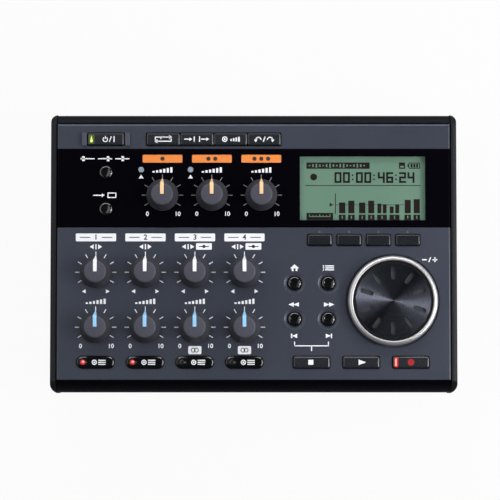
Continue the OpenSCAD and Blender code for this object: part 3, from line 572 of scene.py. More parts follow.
def top_case():
    """Painted plate that rolls over into a rear shoulder darkened with painted shade, with two paler ribs beside
    the power key.
    """
    piece = dressed("top_case", [PAINT, SHADED_SHOULDER, GUARD_PAINT], PLATE_SIDE_EDGE, segments=3, crease=14)
    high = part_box("top_case")[1]
    rear_edge = high.y - SHOULDER_D
    roll_start = rear_edge - PLATE_ROLL_REACH
    shape = bmesh.new()
    shape.from_mesh(piece.data)
    for cut in PLATE_ROLL_CUTS:
        cut_across(shape, roll_start + cut)
    weight = shape.edges.layers.float["bevel_weight_edge"]
    for line in shape.edges:
        if all(abs(v.co.y - rear_edge) < REAR_EDGE_NEAR for v in line.verts):
            line[weight] = 0.0
            line.smooth = True
        elif min(abs(v.co.x) for v in line.verts) < high.x - PLATE_SIDE_NEAR:
            line[weight] *= PLATE_HOLE_EDGE / PLATE_SIDE_EDGE
    for vert in shape.verts:
        reach = vert.co.y - roll_start
        if 0 < reach < PLATE_ROLL_REACH + PLATE_ROLL_END and vert.co.z > PANEL_Z - PLATE_ROLL_DROP:
            vert.co.z = min(vert.co.z, PANEL_Z - PLATE_ROLL_R + math.sqrt(PLATE_ROLL_R ** 2 - reach ** 2))
    shape.to_mesh(piece.data)
    shape.free()
    for face in piece.data.polygons:
        # The shoulder's faces take the paint with painted shade
        if face.center.y > rear_edge + PLATE_ROLL_END:
            face.material_index = 1
        elif face.center.z > PANEL_Z + GUARD_FOOT:
            face.material_index = 2


def jack_rings():
    """Plated rings in the mouths of the rear jacks."""
    shape = bmesh.new()
    for bore in JACK_BORES:
        radius = bore["dims"]["r_mm"] * MM
        mouth = Vector(bore["pos_m"]) + Vector((0, bore["dims"]["length_mm"] * MM / 2, 0))
        place = Matrix.Translation(mouth) @ Matrix.Rotation(math.radians(-90), 4, "X")
        inner, outer = radius + JACK_RING_GAP, radius * JACK_RING_SHARE
        foot, mouth_z = -JACK_RING_DEEP, JACK_RING_PROUD
        turned(shape, [(inner, foot), (inner, mouth_z), (outer, mouth_z), (outer, foot), (inner, foot)],
               place, steps=48, rounding=JACK_RING_EDGE)
    finished("jack_rings", shape, [STEEL], "case")


# Knobs

KNOB_LIFT = 0.4 * MM
SKIRT_H = 1.4 * MM
BODY_FOOT_H = 1.8 * MM
SKIRT_REACH = 0.55 * MM
CAP_R = 4.15 * MM
POINTER_W = 1.4 * MM
POINTER_FULL = 4.3 * MM
POINTER_TAPER = 0.72
POINTER_PROUD = 0.25 * MM
POINTER_SEAT = 0.02 * MM
POINTER_EDGE = 0.1 * MM
POINTER_CRISP = math.radians(60)
KNOB_EDGE = 0.1 * MM
SHAFT_R = 3.0 * MM
# Which point of the knob's outside is the rim of its cap
CAP_RIM = 3


def knob_outside(node):
    """Radius and height of the knob's outside, from the middle of its cap down to its skirt."""
    low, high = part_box(node)
    skirt_r = (high.x - low.x) / 2
    top = high.z - POINTER_PROUD
    return [(0, top), (CAP_R / 2, top - 0.03 * MM), (CAP_R - 0.35 * MM, top - 0.12 * MM),
            (CAP_R, top - 0.35 * MM), (CAP_R + 0.15 * MM, top - 0.7 * MM),
            (skirt_r - SKIRT_REACH, PANEL_Z + BODY_FOOT_H), (skirt_r - 0.2 * MM, PANEL_Z + SKIRT_H),
            (skirt_r, PANEL_Z + SKIRT_H - 0.3 * MM), (skirt_r, PANEL_Z + KNOB_LIFT)]


def knob(node, pointer_material):
    place = Matrix.Translation((AXIS_OF[node].x, AXIS_OF[node].y, 0))
    outside = knob_outside(node)
    shaft_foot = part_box(node)[0].z
    under = [(SHAFT_R, PANEL_Z + KNOB_LIFT), (SHAFT_R, shaft_foot), (0, shaft_foot)]
    shape = bmesh.new()
    turned(shape, outside + under, place, steps=64, rounding=KNOB_EDGE)
    cap_z = outside[CAP_RIM][1] - KNOB_EDGE
    # The cap's faces take the lighter copy of the knob's grey, as painted light on its top
    for face in shape.faces:
        if face.calc_center_median().z > cap_z:
            face.material_index = 1
    piece = finished(node + "_turned", shape, [KNOB_BODY_SHADED, KNOB_CAP_LIT], node, crease=50)
    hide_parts(node)
    knob_pointer(node, outside, pointer_material)


def knob_pointer(node, outside, material):
    """Coloured rib that follows the knob from its middle over the cap and down to the skirt's edge."""
    axis = AXIS_OF[node]
    shape = bmesh.new()
    points = [shape.verts.new((axis.x - POINTER_W / 2, axis.y + r, z)) for r, z in outside[:-1]]
    line = [shape.edges.new(pair) for pair in zip(points, points[1:])]
    moved = verts_of(bmesh.ops.extrude_edge_only(shape, edges=line)["geom"])
    bmesh.ops.translate(shape, verts=moved, vec=(POINTER_W, 0, 0))
    for vert in shape.verts:
        narrowing = max(0.0, vert.co.y - axis.y - POINTER_FULL) / (outside[-1][0] - POINTER_FULL)
        vert.co.x = axis.x + (vert.co.x - axis.x) * (1 - POINTER_TAPER * narrowing)
    bmesh.ops.recalc_face_normals(shape, faces=shape.faces)
    if sum(f.normal.z for f in shape.faces) > 0:
        bmesh.ops.reverse_faces(shape, faces=shape.faces)
    bmesh.ops.solidify(shape, geom=shape.faces[:], thickness=POINTER_PROUD - POINTER_SEAT)
    bmesh.ops.recalc_face_normals(shape, faces=shape.faces)
    crisp = [e for e in shape.edges
             if e.is_manifold and e.is_convex and e.calc_face_angle() > POINTER_CRISP]
    bmesh.ops.bevel(shape, geom=crisp, offset=POINTER_EDGE, offset_type="OFFSET", affect="EDGES", segments=2,
                    profile=0.5, material=-1, clamp_overlap=True)
    finished(node + "_pointer", shape, [material], node, crease=50)


# Data wheel

RIM_W = 1.8 * MM
# Reach from the rim's inner wall and drop from its top, in millimetres
RIM_CROWN = [(0, 0.8), (0.06, 0.3), (0.22, 0.06), (0.45, 0), (0.85, 0.1), (1.25, 0.32), (1.58, 0.7)]
RIM_SHOULDER_INSET = 0.02 * MM
RIM_SHOULDER_DROP = 1.3 * MM
RIM_WALL_DROP = 1.8 * MM
SLOT_LIP = 0.25 * MM
SLOT_DEEPEST = 1.1 * MM
# Width of the painted shade round the face's edge
FACE_SHADE_W = 0.85 * MM


def wheel_rim():
    """Silver rim with a rounded crown that leans outwards."""
    axis = AXIS_OF["data_wheel"]
    low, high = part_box("data_wheel_rim")
    outer = (high.x - low.x) / 2
    inner = outer - RIM_W
    top = high.z
    crown = [(inner + reach, top - drop) for reach, drop in in_mm(RIM_CROWN)]
    crown.append((outer - RIM_SHOULDER_INSET, top - RIM_SHOULDER_DROP))
    wall = [(outer, top - RIM_WALL_DROP), (outer, low.z), (inner, low.z), crown[0]]
    shape = bmesh.new()
    turned(shape, crown + wall, Matrix.Translation((axis.x, axis.y, 0)), steps=128)
    piece = finished("data_wheel_rim_turned", shape, [SILVER], "data_wheel", crease=50)
    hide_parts("data_wheel_rim")


def wheel_face():
    """Spun face with its finger slots, and painted shade at its edge for the groove next to the rim. Its upper
    faces are shaded flat.
    """
    piece = dressed("data_wheel_face", [SPUN, SLOT_BLACK, GAP_SHADE])
    low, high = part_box("data_wheel_face")
    axis = AXIS_OF["data_wheel"]
    top = high.z
    shade_r = (high.x - low.x) / 2 - FACE_SHADE_W
    points = piece.data.vertices
    for face in piece.data.polygons:
        face.use_smooth = face.normal.z < FACES_UP
        # Faces near the rim take painted shade, for the groove between the face and the rim
        if min((points[i].co.xy - axis.xy).length for i in face.vertices) > shade_r:
            face.material_index = 2
        elif face.normal.z > FACES_DOWN and top - SLOT_DEEPEST < face.center.z < top - SLOT_LIP:
            face.material_index = 1


# Keys

FLANGE_REACH = 1.0 * MM
FLANGE_T = 0.8 * MM
FLANGE_CORNER = 0.3 * MM
STEM_R = 1.5 * MM
KEY_FLANGE_Z = PANEL_Z - 2.3 * MM
KEY_EDGE = 0.42 * MM
KEY_EDGE_DROP = 0.24 * MM
KEY_CROWN = 0.1 * MM
KEY_CROWN_STRIPS = 8
KEY_CROWN_FOOT = 0.1 * MM
KEY_CORNER = 0.6 * MM
ROUND_END_EASE = 0.01 * MM
# Gap round a key in its hole, and width of the painted shade round the hole
KEY_HOLE_GAP = 0.2 * MM
GAP_SHADE_W = 0.22 * MM
# Share of the key's radius, and drop from its top in millimetres
ROUND_KEY_TOP = [(0, 0.2), (0.4, 0.17), (0.65, 0.06), (0.74, 0), (0.79, 0.035), (0.93, 0.2), (0.98, 0.36),
                 (1, 0.65)]
TRACK_LAMP_REACH = 4.75 * MM
LAMP_HEART_SHIFT = Matrix.Translation((0.1 * MM, 0.15 * MM, 0))
# Radius and height above the key's top, in millimetres
LAMP_DOME = [(0, 0.16), (0.5, 0.13), (0.9, 0.04), (1.12, -0.1), (1.12, -0.3), (0, -0.3)]
LAMP_RING = [(1.1, 0.03), (1.35, 0.05), (1.5, -0.05), (1.5, -0.3), (1.1, -0.3), (1.1, 0.03)]
LAMP_HEART = [(0, 0.2), (0.3, 0.18), (0.48, 0.1), (0, 0.05)]


def cap_depth(node):
    """Depth of a long key's cap, without the flange that the plate holds down."""
    low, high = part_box(node)
    return high.y - low.y - 2 * FLANGE_REACH


def round_end(depth):
    """Corner that makes a whole end of that depth round."""
    return depth / 2 - ROUND_END_EASE


def bar_key(node, corner, material):
    """A key with a slightly crowned cap, on a flange under the plate and a stem to its switch."""
    low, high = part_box(node)
    x, y = middle(node).xy
    w = high.x - low.x
    d = cap_depth(node)
    shape = bmesh.new()
    rounded_prism(shape, x, y, w, d, corner, KEY_FLANGE_Z, high.z - KEY_EDGE_DROP)
    lid = [f for f in shape.faces if f.normal.z > FACES_UP]
    bmesh.ops.inset_region(shape, faces=lid, thickness=KEY_EDGE, depth=KEY_EDGE_DROP, use_even_offset=True)
    for i in range(1, KEY_CROWN_STRIPS):
        cut_across(shape, y - d / 2 + d * i / KEY_CROWN_STRIPS)
    for vert in shape.verts:
        if vert.co.z > KEY_FLANGE_Z + KEY_CROWN_FOOT:
            vert.co.z -= KEY_CROWN * ((vert.co.y - y) / (d / 2)) ** 2
    flange_foot = KEY_FLANGE_Z - FLANGE_T
    rounded_prism(shape, x, y, w, d + 2 * FLANGE_REACH, FLANGE_CORNER, flange_foot, KEY_FLANGE_Z)
    stem = flange_foot - low.z
    bmesh.ops.create_cone(shape, cap_ends=True, segments=24, radius1=STEM_R, radius2=STEM_R, depth=stem,
                          matrix=Matrix.Translation((x, y, low.z + stem / 2)))
    piece = finished(node + "_cap", shape, [material], node, crease=22)
    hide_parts(node)


def round_key(node):
    """A small polished key with a shallow dish and a rolled lip."""
    low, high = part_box(node)
    flange_r = (high.x - low.x) / 2
    r = flange_r - FLANGE_REACH
    flange_foot = KEY_FLANGE_Z - FLANGE_T
    profile = [(share * r, high.z - drop * MM) for share, drop in ROUND_KEY_TOP]
    profile += [(r, KEY_FLANGE_Z), (flange_r, KEY_FLANGE_Z), (flange_r, flange_foot), (STEM_R, flange_foot),
                (STEM_R, low.z), (0, low.z)]
    shape = bmesh.new()
    turned(shape, profile, Matrix.Translation((*middle(node).xy, 0)), steps=48)
    piece = finished(node + "_cap", shape, [POLISHED_KEY], node, crease=55)
    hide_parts(node)


def track_lamp(node, lit):
    """Small domed lamp in a track key, in a dark ring, with a paler heart where it is lit."""
    x, y = middle(node).xy
    place = Matrix.Translation((x - TRACK_LAMP_REACH, y, KEY_TOP_Z))
    layers = [("lamp", LAMP_DOME, place, 32, LIT_RED if lit else UNLIT, "lamp_lens"),
              ("lamp_ring", LAMP_RING, place, 32, DARK_KEY, "key_plastic")]
    if lit:
        layers.append(("lamp_heart", LAMP_HEART, place @ LAMP_HEART_SHIFT, 20, LIT_PINK, "lamp_lens"))
    for kind, profile, layer_place, steps, material, slot in layers:
        shape = bmesh.new()
        turned(shape, in_mm(profile), layer_place, steps)
        finished(f"{node}_{kind}", shape, [material], node, crease=60)


# Printed marks, each a thin closed plate on the surface that carries it

FIGURE_RISE = 0.72
FIGURE_WEIGHT = 0.03
ARC_STEP = 12


class Marks:
    """Collects flat marks of one colour, in millimetres from an origin, and makes them one thin piece."""

    def __init__(self, name, material, body, slot, z, sink=PRINT_SINK, origin=Vector()):
        self.name = name
        self.material = material
        self.body = body
        self.slot = slot
        self.z = z
        self.sink = sink
        self.origin = origin
        self.shape = bmesh.new()

    def at(self, x, y, turn=0.0, w=1.0, h=1.0):
        return (Matrix.Translation((self.origin.x + x * MM, self.origin.y + y * MM, self.z))
                @ Matrix.Rotation(math.radians(turn), 4, "Z") @ Matrix.Diagonal((w, h, 1, 1)))

    def bar(self, x, y, w, h, turn=0.0):
        return bmesh.ops.create_grid(self.shape, x_segments=1, y_segments=1, size=0.5,
                                     matrix=self.at(x, y, turn, w * MM, h * MM))

    def span(self, x0, x1, y0, y1):
        self.bar((x0 + x1) / 2, (y0 + y1) / 2, x1 - x0, y1 - y0)

    def box(self, x, y, w, h, corner):
        bmesh.ops.bevel(self.shape, geom=self.bar(x, y, w, h)["verts"], offset=corner * MM,
                        offset_type="OFFSET", affect="VERTICES", segments=4, profile=0.5, material=-1)

    def frame(self, x, y, w, h, corner, border):
        """An open frame whose border lies inside the given size."""
        old = set(self.shape.faces)
        self.box(x, y, w, h, corner)
        field = added(self.shape.faces, old)
        bmesh.ops.inset_region(self.shape, faces=field, thickness=border * MM, use_boundary=True,
                               use_even_offset=True)
        bmesh.ops.delete(self.shape, geom=field, context="FACES_ONLY")

    def line(self, x0, y0, x1, y1, w):
        run = Vector((x1 - x0, y1 - y0))
        self.bar((x0 + x1) / 2, (y0 + y1) / 2, run.length, w, math.degrees(math.atan2(run.y, run.x)))

    def disc(self, x, y, r, w=1.0, h=1.0):
        """A disc, stretched by w and h."""
        bmesh.ops.create_circle(self.shape, cap_ends=True, radius=r * MM, segments=28,
                                matrix=self.at(x, y, 0, w, h))

    def triangle(self, x, y, w, h, turn=0.0):
        """A triangle that points along +X before it is turned."""
        place = self.at(x, y, turn, w * MM / 1.5, h * MM / math.sqrt(3))
        bmesh.ops.create_circle(self.shape, cap_ends=True, radius=1.0, segments=3,
                                matrix=place @ Matrix.Rotation(math.radians(-90), 4, "Z"))

    def arc(self, x, y, r, w, start=0.0, sweep=360.0):
        place = self.at(x, y, start)
        ends = [self.shape.verts.new(place @ Vector(((r + side * w / 2) * MM, 0, 0))) for side in (-1, 1)]
        edge = self.shape.edges.new(ends)
        bmesh.ops.spin(self.shape, geom=ends + [edge], cent=place.translation, axis=(0, 0, 1),
                       angle=math.radians(sweep), steps=max(4, int(abs(sweep) / ARC_STEP)),
                       use_merge=sweep >= 360)

    def number(self, text, x, y, h):
        curve = bpy.data.curves.new("figure", "FONT")
        curve.body = text
        curve.size = h * MM / FIGURE_RISE
        curve.offset = FIGURE_WEIGHT * h * MM
        curve.align_x = "CENTER"
        curve.align_y = "CENTER"
        carrier = bpy.data.objects.new("figure", curve)
        scene.collection.objects.link(carrier)
        bpy.context.view_layer.update()
        mesh = bpy.data.meshes.new_from_object(carrier.evaluated_get(bpy.context.evaluated_depsgraph_get()))
        mesh.transform(self.at(x, y))
        self.shape.from_mesh(mesh)
        bpy.data.objects.remove(carrier)
        bpy.data.curves.remove(curve)
        bpy.data.meshes.remove(mesh)

    def done(self):
        shape = self.shape
        bmesh.ops.recalc_face_normals(shape, faces=shape.faces)
        bmesh.ops.reverse_faces(shape, faces=[f for f in shape.faces if f.normal.z > 0])
        for vert in shape.verts:
            vert.co.z = self.z - self.sink
        bmesh.ops.solidify(shape, geom=shape.faces[:], thickness=PRINT_T + self.sink)
        finished(self.name, shape, [self.material], self.body)


# Signs, in millimetres

TICK_COUNT = 9
TICK_STEP = 30
TICK_NEAR = 6.2
TICK_FAR = 7.85
TICK_W = 0.32
DIAL_FIGURE_H = 1.65
DIAL_FIGURE_Y = -7.2


def start_from(origin, layers):
    for marks in layers:
        marks.origin = origin


def facing(side):
    """Turn of a mark that points left for -1 and right for 1."""
    return 0 if side > 0 else 180


def dial_ticks(marks):
    """Nine ticks round a knob, from 120 degrees left of the top to 120 right."""
    for i in range(TICK_COUNT):
        angle = math.radians(90 + (i - TICK_COUNT // 2) * TICK_STEP)
        reach = Vector((math.cos(angle), math.sin(angle)))
        marks.line(*(reach * TICK_NEAR), *(reach * TICK_FAR), TICK_W)


def dial_ends(marks):
    marks.number("0", -5.7, DIAL_FIGURE_Y, DIAL_FIGURE_H)
    marks.number("10", 5.8, DIAL_FIGURE_Y, DIAL_FIGURE_H)


def level_sign(marks, y):
    """Rising bars, as for loudness."""
    for i in range(6):
        tall = 0.6 + 0.28 * i
        marks.bar((i - 2.5) * 1.35, y - 1.0 + tall / 2, 0.85, tall)


def pan_sign(marks, x, y):
    """Two arrows pointing apart from a short bar."""
    marks.bar(x, y, 0.45, 2.0)
    for side in (-1, 1):
        marks.triangle(x + side * 1.35, y, 1.5, 1.9, facing(side))


def arrow(marks, x, y, length):
    """A short arrow to the right."""
    half = length / 2
    marks.line(x - half, y, x + 0.3 * half, y, 0.42)
    marks.triangle(x + 0.45 * half, y, 1.1, 1.5)


def slider_sign(marks, x, y):
    """Three sliders side by side at different settings."""
    for i, setting in enumerate((-1.6, 1.2, 0.2)):
        slot_x = x + (i - 1) * 6.6
        marks.bar(slot_x, y, 5.4, 0.4)
        marks.box(slot_x + setting, y, 1.0, 1.9, 0.2)


def to_box_sign(marks, x, y):
    """An arrow into a box."""
    arrow(marks, x - 2.0, y, 5.0)
    marks.frame(x + 2.6, y, 3.4, 2.1, 0.25, 0.4)


def house_sign(marks, y):
    marks.triangle(0, y + 0.35, 1.5, 3.4, 90)
    for side in (-1, 1):
        marks.bar(side * 0.75, y - 0.65, 0.75, 1.1)


def list_sign(marks, y):
    for i in (-1, 0, 1):
        marks.bar(-1.8, y + i * 0.75, 0.5, 0.42)
        marks.bar(0.5, y + i * 0.75, 3.4, 0.42)


def turn_sign(marks, x, y):
    """Minus and plus, for the wheel."""
    marks.bar(x - 2.0, y, 1.7, 0.45)
    marks.line(x - 0.35, y - 0.9, x + 0.35, y + 0.9, 0.35)
    marks.bar(x + 2.0, y, 1.8, 0.45)
    marks.bar(x + 2.0, y, 0.45, 1.8)


# Print on the window and the plate, in millimetres

LABEL_H = 3.0
INPUT_LABEL_Y = 13.9
INPUT_LABEL_W = 15.1
TRACK_LABEL_Y = 13.25
TRACK_LABEL_W = 15.3
PAIR_SIGN_X = 3.4
PAIR_SIGN_Y = 9.8
PAIR_BADGE_Y = -8.7
OVERLOAD_LAMP_R = 1.05
SLIDER_SIGN_Y = 35.7
TO_BOX_SIGN_Y = 21.75
KEY_SIGN_Y = 5.8
SKIP_SIGN_Y = -6.4
TURN_SIGN_AT = (66.8, -2.8)


def in_line_with(node):
    """The point of the part's X axis that lies in front of or behind a node."""
    return Vector((middle(node).x, 0))


def input_print():
    """Labels and scales of the three knobs on the window, and signs beside the window keys."""
    white = Marks("window_marks", WHITE_PRINT, "case", "gloss_black", PANEL_Z)
    grey = Marks("window_ticks", GREY_PRINT, "case", "gloss_black", PANEL_Z)
    orange = Marks("input_labels", ORANGE_PRINT, "case", "gloss_black", PANEL_Z)
    dark = Marks("input_label_dots", DARK_PRINT, "case", "gloss_black", PANEL_Z + PRINT_T)
    layers = (white, grey, orange, dark)
    for count, node in enumerate(INPUT_KNOBS, 1):
        start_from(AXIS_OF[node], layers)
        dial_ticks(grey)
        dial_ends(white)
        level_sign(white, 9.6)
        orange.box(0, INPUT_LABEL_Y, INPUT_LABEL_W, LABEL_H, 0.35)
        for i in range(count):
            dark.disc((i - (count - 1) / 2) * 2.6, INPUT_LABEL_Y, 0.8)
    low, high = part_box("overload_lamps")
    lamp_x = (high.x - low.x) / 2 / MM - OVERLOAD_LAMP_R
    white.origin = middle("overload_lamps")
    for side in (-1, 1):
        white.triangle(side * lamp_x, -2.9, 1.5, 1.9, 90)
    white.origin = in_line_with("input_setting_key")
    slider_sign(white, -0.4, SLIDER_SIGN_Y)
    white.origin = in_line_with("assign_key")
    to_box_sign(white, -0.3, TO_BOX_SIGN_Y)
    for marks in layers:
        marks.done()


def track_print():
    """Labels and scales of the four tracks. The last two can be paired, and have a sign for that."""
    white = Marks("track_marks", WHITE_PRINT, "case", "grey_paint", PANEL_Z)
    ticks = Marks("track_ticks", TICK_PRINT, "case", "grey_paint", PANEL_Z)
    dark = Marks("track_figures", DARK_PRINT, "case", "grey_paint", PANEL_Z + PRINT_T)
    layers = (white, ticks, dark)
    for count, (pan, level) in enumerate(zip(PAN_KNOBS, LEVEL_KNOBS), 1):
        paired = count > 2
        start_from(AXIS_OF[pan], layers)
        dial_ticks(ticks)
        white.box(0, TRACK_LABEL_Y, TRACK_LABEL_W, LABEL_H, 0.4)
        dark.number(str(count), 0, TRACK_LABEL_Y, 2.0)
        for side in (-1, 1):
            dark.bar(side * 4.2, TRACK_LABEL_Y, 4.0, 0.3)
            white.triangle(side * 4.3, -7.25, 1.4, 1.6, facing(side))
        pan_sign(white, -2.6 if paired else 0, 9.7)
        if paired:
            white.box(PAIR_SIGN_X, PAIR_SIGN_Y, 6.0, 2.5, 0.3)
            dark.bar(PAIR_SIGN_X, PAIR_SIGN_Y, 3.8, 0.35)
            dark.disc(PAIR_SIGN_X, PAIR_SIGN_Y, 0.62)
        start_from(AXIS_OF[level], layers)
        dial_ticks(ticks)
        dial_ends(white)
        level_sign(white, 9.8)
        if paired:
            white.box(0, PAIR_BADGE_Y, 5.0, 3.1, 0.5)
            for side in (-1, 1):
                dark.arc(side * 0.6, PAIR_BADGE_Y, 0.75, 0.28)
    for marks in layers:
        marks.done()


def control_print():
    """Signs round the keys and the wheel on the right of the panel."""
    white = Marks("control_marks", WHITE_PRINT, "case", "grey_paint", PANEL_Z)
    grey = Marks("soft_key_ticks", GREY_PRINT, "case", "grey_paint", PANEL_Z)
    white.origin = middle("home_key")
    house_sign(white, KEY_SIGN_Y)
    white.origin = middle("menu_key")
    list_sign(white, KEY_SIGN_Y)
    back, ahead = middle("rewind_key"), middle("forward_key")
    for key_middle, side in ((back, -1), (ahead, 1)):
        white.origin = key_middle
        for step in (-0.95, 0.95):
            white.triangle(step, 5.5, 2.1, 1.7, facing(side))
        white.triangle(-side * 0.35, SKIP_SIGN_Y, 1.9, 1.7, facing(side))
        white.bar(side * 1.15, SKIP_SIGN_Y, 0.5, 1.7)
        white.bar(0, -9.35, 0.4, 1.6)
    white.origin = (back + ahead) / 2
    white.bar(0, -10.15, (ahead.x - back.x) / MM + 0.4, 0.4)
    white.bar(0, -11.1, 0.4, 2.0)
    white.origin = Vector()
    turn_sign(white, *TURN_SIGN_AT)
    for node in SOFT_KEYS:
        grey.origin = middle(node)
        grey.bar(0, 3.1, 0.28, 0.8)
    white.done()
    grey.done()


# Signs and lamps on the keys, in millimetres

POWER_LAMP_X = -5.45


def key_marks(node, material=WHITE_PRINT, kind="sign"):
    return Marks(f"{node}_{kind}", material, node, "key_plastic", KEY_TOP_Z, KEY_PRINT_SINK, middle(node))


def lamp_heart(node, material):
    """Brighter middle of a lit lamp, on top of the lamp."""
    return Marks(f"{node}_lamp_heart", material, node, "lamp_lens", KEY_TOP_Z + PRINT_T, origin=middle(node))


def power_key_signs():
    sign = key_marks("power_key")
    sign.arc(-0.2, -0.1, 0.85, 0.36, 125, 290)
    sign.bar(-0.2, 0.65, 0.36, 1.1)
    sign.line(1.3, -1.1, 2.1, 1.1, 0.36)
    sign.bar(3.15, 0, 0.4, 2.2)
    lamp = key_marks("power_key", LIT_OLIVE, "lamp")
    lamp.box(POWER_LAMP_X, 0, 2.2, 3.5, 0.2)
    heart = lamp_heart("power_key", LIT_GREEN)
    heart.disc(POWER_LAMP_X, -0.65, 0.5, 1.0, 1.2)
    heart.triangle(POWER_LAMP_X, 0.35, 1.6, 0.8, 90)
    for marks in (sign, lamp, heart):
        marks.done()


def function_key_signs():
    """Repeat, in and out points, recording mode, and undo with redo."""
    signs = [key_marks(node) for node in FUNCTION_KEYS]
    repeat, points, mode, undo = signs
    repeat.arc(0, 0, 0.95, 0.4, 60, 120)
    for side in (-1, 1):
        repeat.bar(0, side * 0.8, 5.6, 0.4)
        repeat.bar(side * 3.0, -side * 0.35, 0.4, 1.3)
        repeat.triangle(side * 2.6, side * 0.8, 1.2, 1.6, facing(side))
        points.bar(side * 1.0, 0, 0.42, 2.1)
        arrow(points, side * 3.2, 0, 3.2)
        undo.arc(side * 2.2, -0.3, 1.0, 0.4, 0, 180)
        undo.triangle(side * 3.2, -0.5, 1.1, 1.4, -90)
    mode.arc(-2.2, 0, 0.85, 0.4)
    mode.disc(-2.2, 0, 0.38)
    for i in range(4):
        mode.bar(0.2 + 1.0 * i, (0.2 * i - 0.65) / 2, 0.6, 0.8 + 0.35 * i)
    undo.line(-0.35, -1.0, 0.35, 1.0, 0.36)
    for sign in signs:
        sign.done()


def transport_key_signs():
    stop, play = key_marks("stop_key"), key_marks("play_key")
    stop.bar(-0.3, 0, 1.9, 1.9)
    play.triangle(-0.1, 0, 2.8, 2.1)
    dot = key_marks("record_key", RED_MARK)
    dot.disc(0, 0, 1.28)
    strip = key_marks("record_key", LIT_RED, "lamp")
    strip.box(-5.55, 0, 1.5, 3.6, 0.35)
    glow = lamp_heart("record_key", LIT_PINK)
    glow.box(-5.7, 0, 0.6, 2.9, 0.25)
    for marks in (stop, play, dot, strip, glow):
        marks.done()


def track_key_signs():
    """Recording sign of each track: a dot in a ring, and a bar."""
    for node in TRACK_KEYS:
        sign = key_marks(node)
        sign.arc(-0.4, 0, 0.8, 0.38)
        sign.disc(-0.4, 0, 0.36)
        for i in (-1, 0, 1):
            sign.bar(2.5, i * 0.75, 2.8, 0.4)
        sign.done()


def key_gap_shades():
    """Painted shade round the holes that the long keys stand in, which widens their dark gaps. The function keys
    share one hole.
    """
    gap_shade = Marks("key_gap_shades", GAP_SHADE, "case", "grey_paint", PANEL_Z)
    wider = 2 * (KEY_HOLE_GAP + GAP_SHADE_W)
    holes = [([node], KEY_CORNER + GAP_SHADE_W) for node in TRANSPORT_KEYS + SOFT_KEYS]
    holes += [([node], round_end(cap_depth(node) + wider)) for node in TRACK_KEYS]
    holes += [(["power_key"], KEY_CORNER + GAP_SHADE_W), (FUNCTION_KEYS, KEY_CORNER)]
    for nodes, corner in holes:
        left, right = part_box(nodes[0])[0].x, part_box(nodes[-1])[1].x
        gap_shade.origin = Vector(((left + right) / 2, middle(nodes[0]).y))
        w, d = right - left + wider, cap_depth(nodes[0]) + wider
        gap_shade.frame(0, 0, w / MM, d / MM, corner / MM, GAP_SHADE_W / MM)
    gap_shade.done()


# Display, in millimetres from the middle of its lens

DIGIT_BARS = {0: "abcdef", 2: "abged", 4: "fgbc", 6: "afgedc"}
DIGIT_W = 2.65
DIGIT_H = 4.1
DIGIT_T = 0.74
DIGIT_PITCH = 3.2
COUNTER = [(-10.6, (0, 0)), (-2.45, (0, 0)), (5.9, (4, 6)), (14.0, (2, 4))]
TITLE_Y = 8.75
TITLE_BARS = [0.5, 1.1, 1.5, 0.9, 0.5, 1.2, 1.6, 1.0, 0.6, 1.3, 1.5, 0.8, 0.4, 0.9, 1.4, 1.0, 0.5]
METER_FOOT = -9.45
METERS = [(-8.9, -6.5, 4.1), (-5.4, -3.05, 4.8), (-1.3, 1.1, 4.1), (2.2, 4.5, 4.8), (5.7, 7.2, 3.7),
          (7.75, 9.2, 3.4), (10.4, 11.9, 2.6), (12.5, 14.0, 3.4), (16.1, 18.4, 5.1), (19.5, 21.85, 5.4)]
METER_LABELS = [(-8.9, -6.5), (-5.4, -3.05), (-1.3, 1.1), (2.2, 4.5), (5.7, 9.2), (10.4, 14.0), (16.1, 18.4),
                (19.5, 21.85)]


def display_figure(marks, digit, x, y):
    """A figure of bars, drawn from its left edge and its middle height."""
    w, h, t = DIGIT_W, DIGIT_H, DIGIT_T
    places = {"a": (w / 2, h / 2 - t / 2, w, t), "g": (w / 2, 0, w, t), "d": (w / 2, t / 2 - h / 2, w, t),
              "f": (t / 2, h / 4, t, h / 2), "b": (w - t / 2, h / 4, t, h / 2),
              "e": (t / 2, -h / 4, t, h / 2), "c": (w - t / 2, -h / 4, t, h / 2)}
    for letter in DIGIT_BARS[digit]:
        dx, dy, bar_w, bar_h = places[letter]
        marks.bar(x + dx, y + dy, bar_w, bar_h)


def display_title(dark, pale):
    """Title bar, card sign and battery sign along the top."""
    dark.span(-21.3, 2.8, 7.55, 9.95)
    for i, tall in enumerate(TITLE_BARS):
        pale.span(-20.4 + 1.3 * i, -19.8 + 1.3 * i, TITLE_Y - tall / 2, TITLE_Y + tall / 2)
    dark.span(14.0, 16.3, 7.55, 9.95)
    pale.span(14.5, 15.8, 8.0, 8.7)
    dark.frame(19.8, TITLE_Y, 4.4, 2.3, 0.1, 0.3)
    dark.span(17.2, 17.7, 8.3, 9.2)
    for i in range(3):
        dark.span(18.4 + 1.05 * i, 19.15 + 1.05 * i, 8.05, 9.45)


def display_counter(dark):
    """Recording dot, counter of four pairs of figures with two dots between the pairs, and a line below."""
    dark.disc(-18.55, 4.4, 1.3)
    for start, pair in COUNTER:
        for i, digit in enumerate(pair):
            display_figure(dark, digit, start + DIGIT_PITCH * i, 4.2)
    for start, _ in COUNTER[:-1]:
        for dy in (-0.8, 0.8):
            dark.span(start + 6.6, start + 7.2, 4.0 + dy, 4.6 + dy)
    dark.span(-21.7, 22.2, 1.02, 1.28)


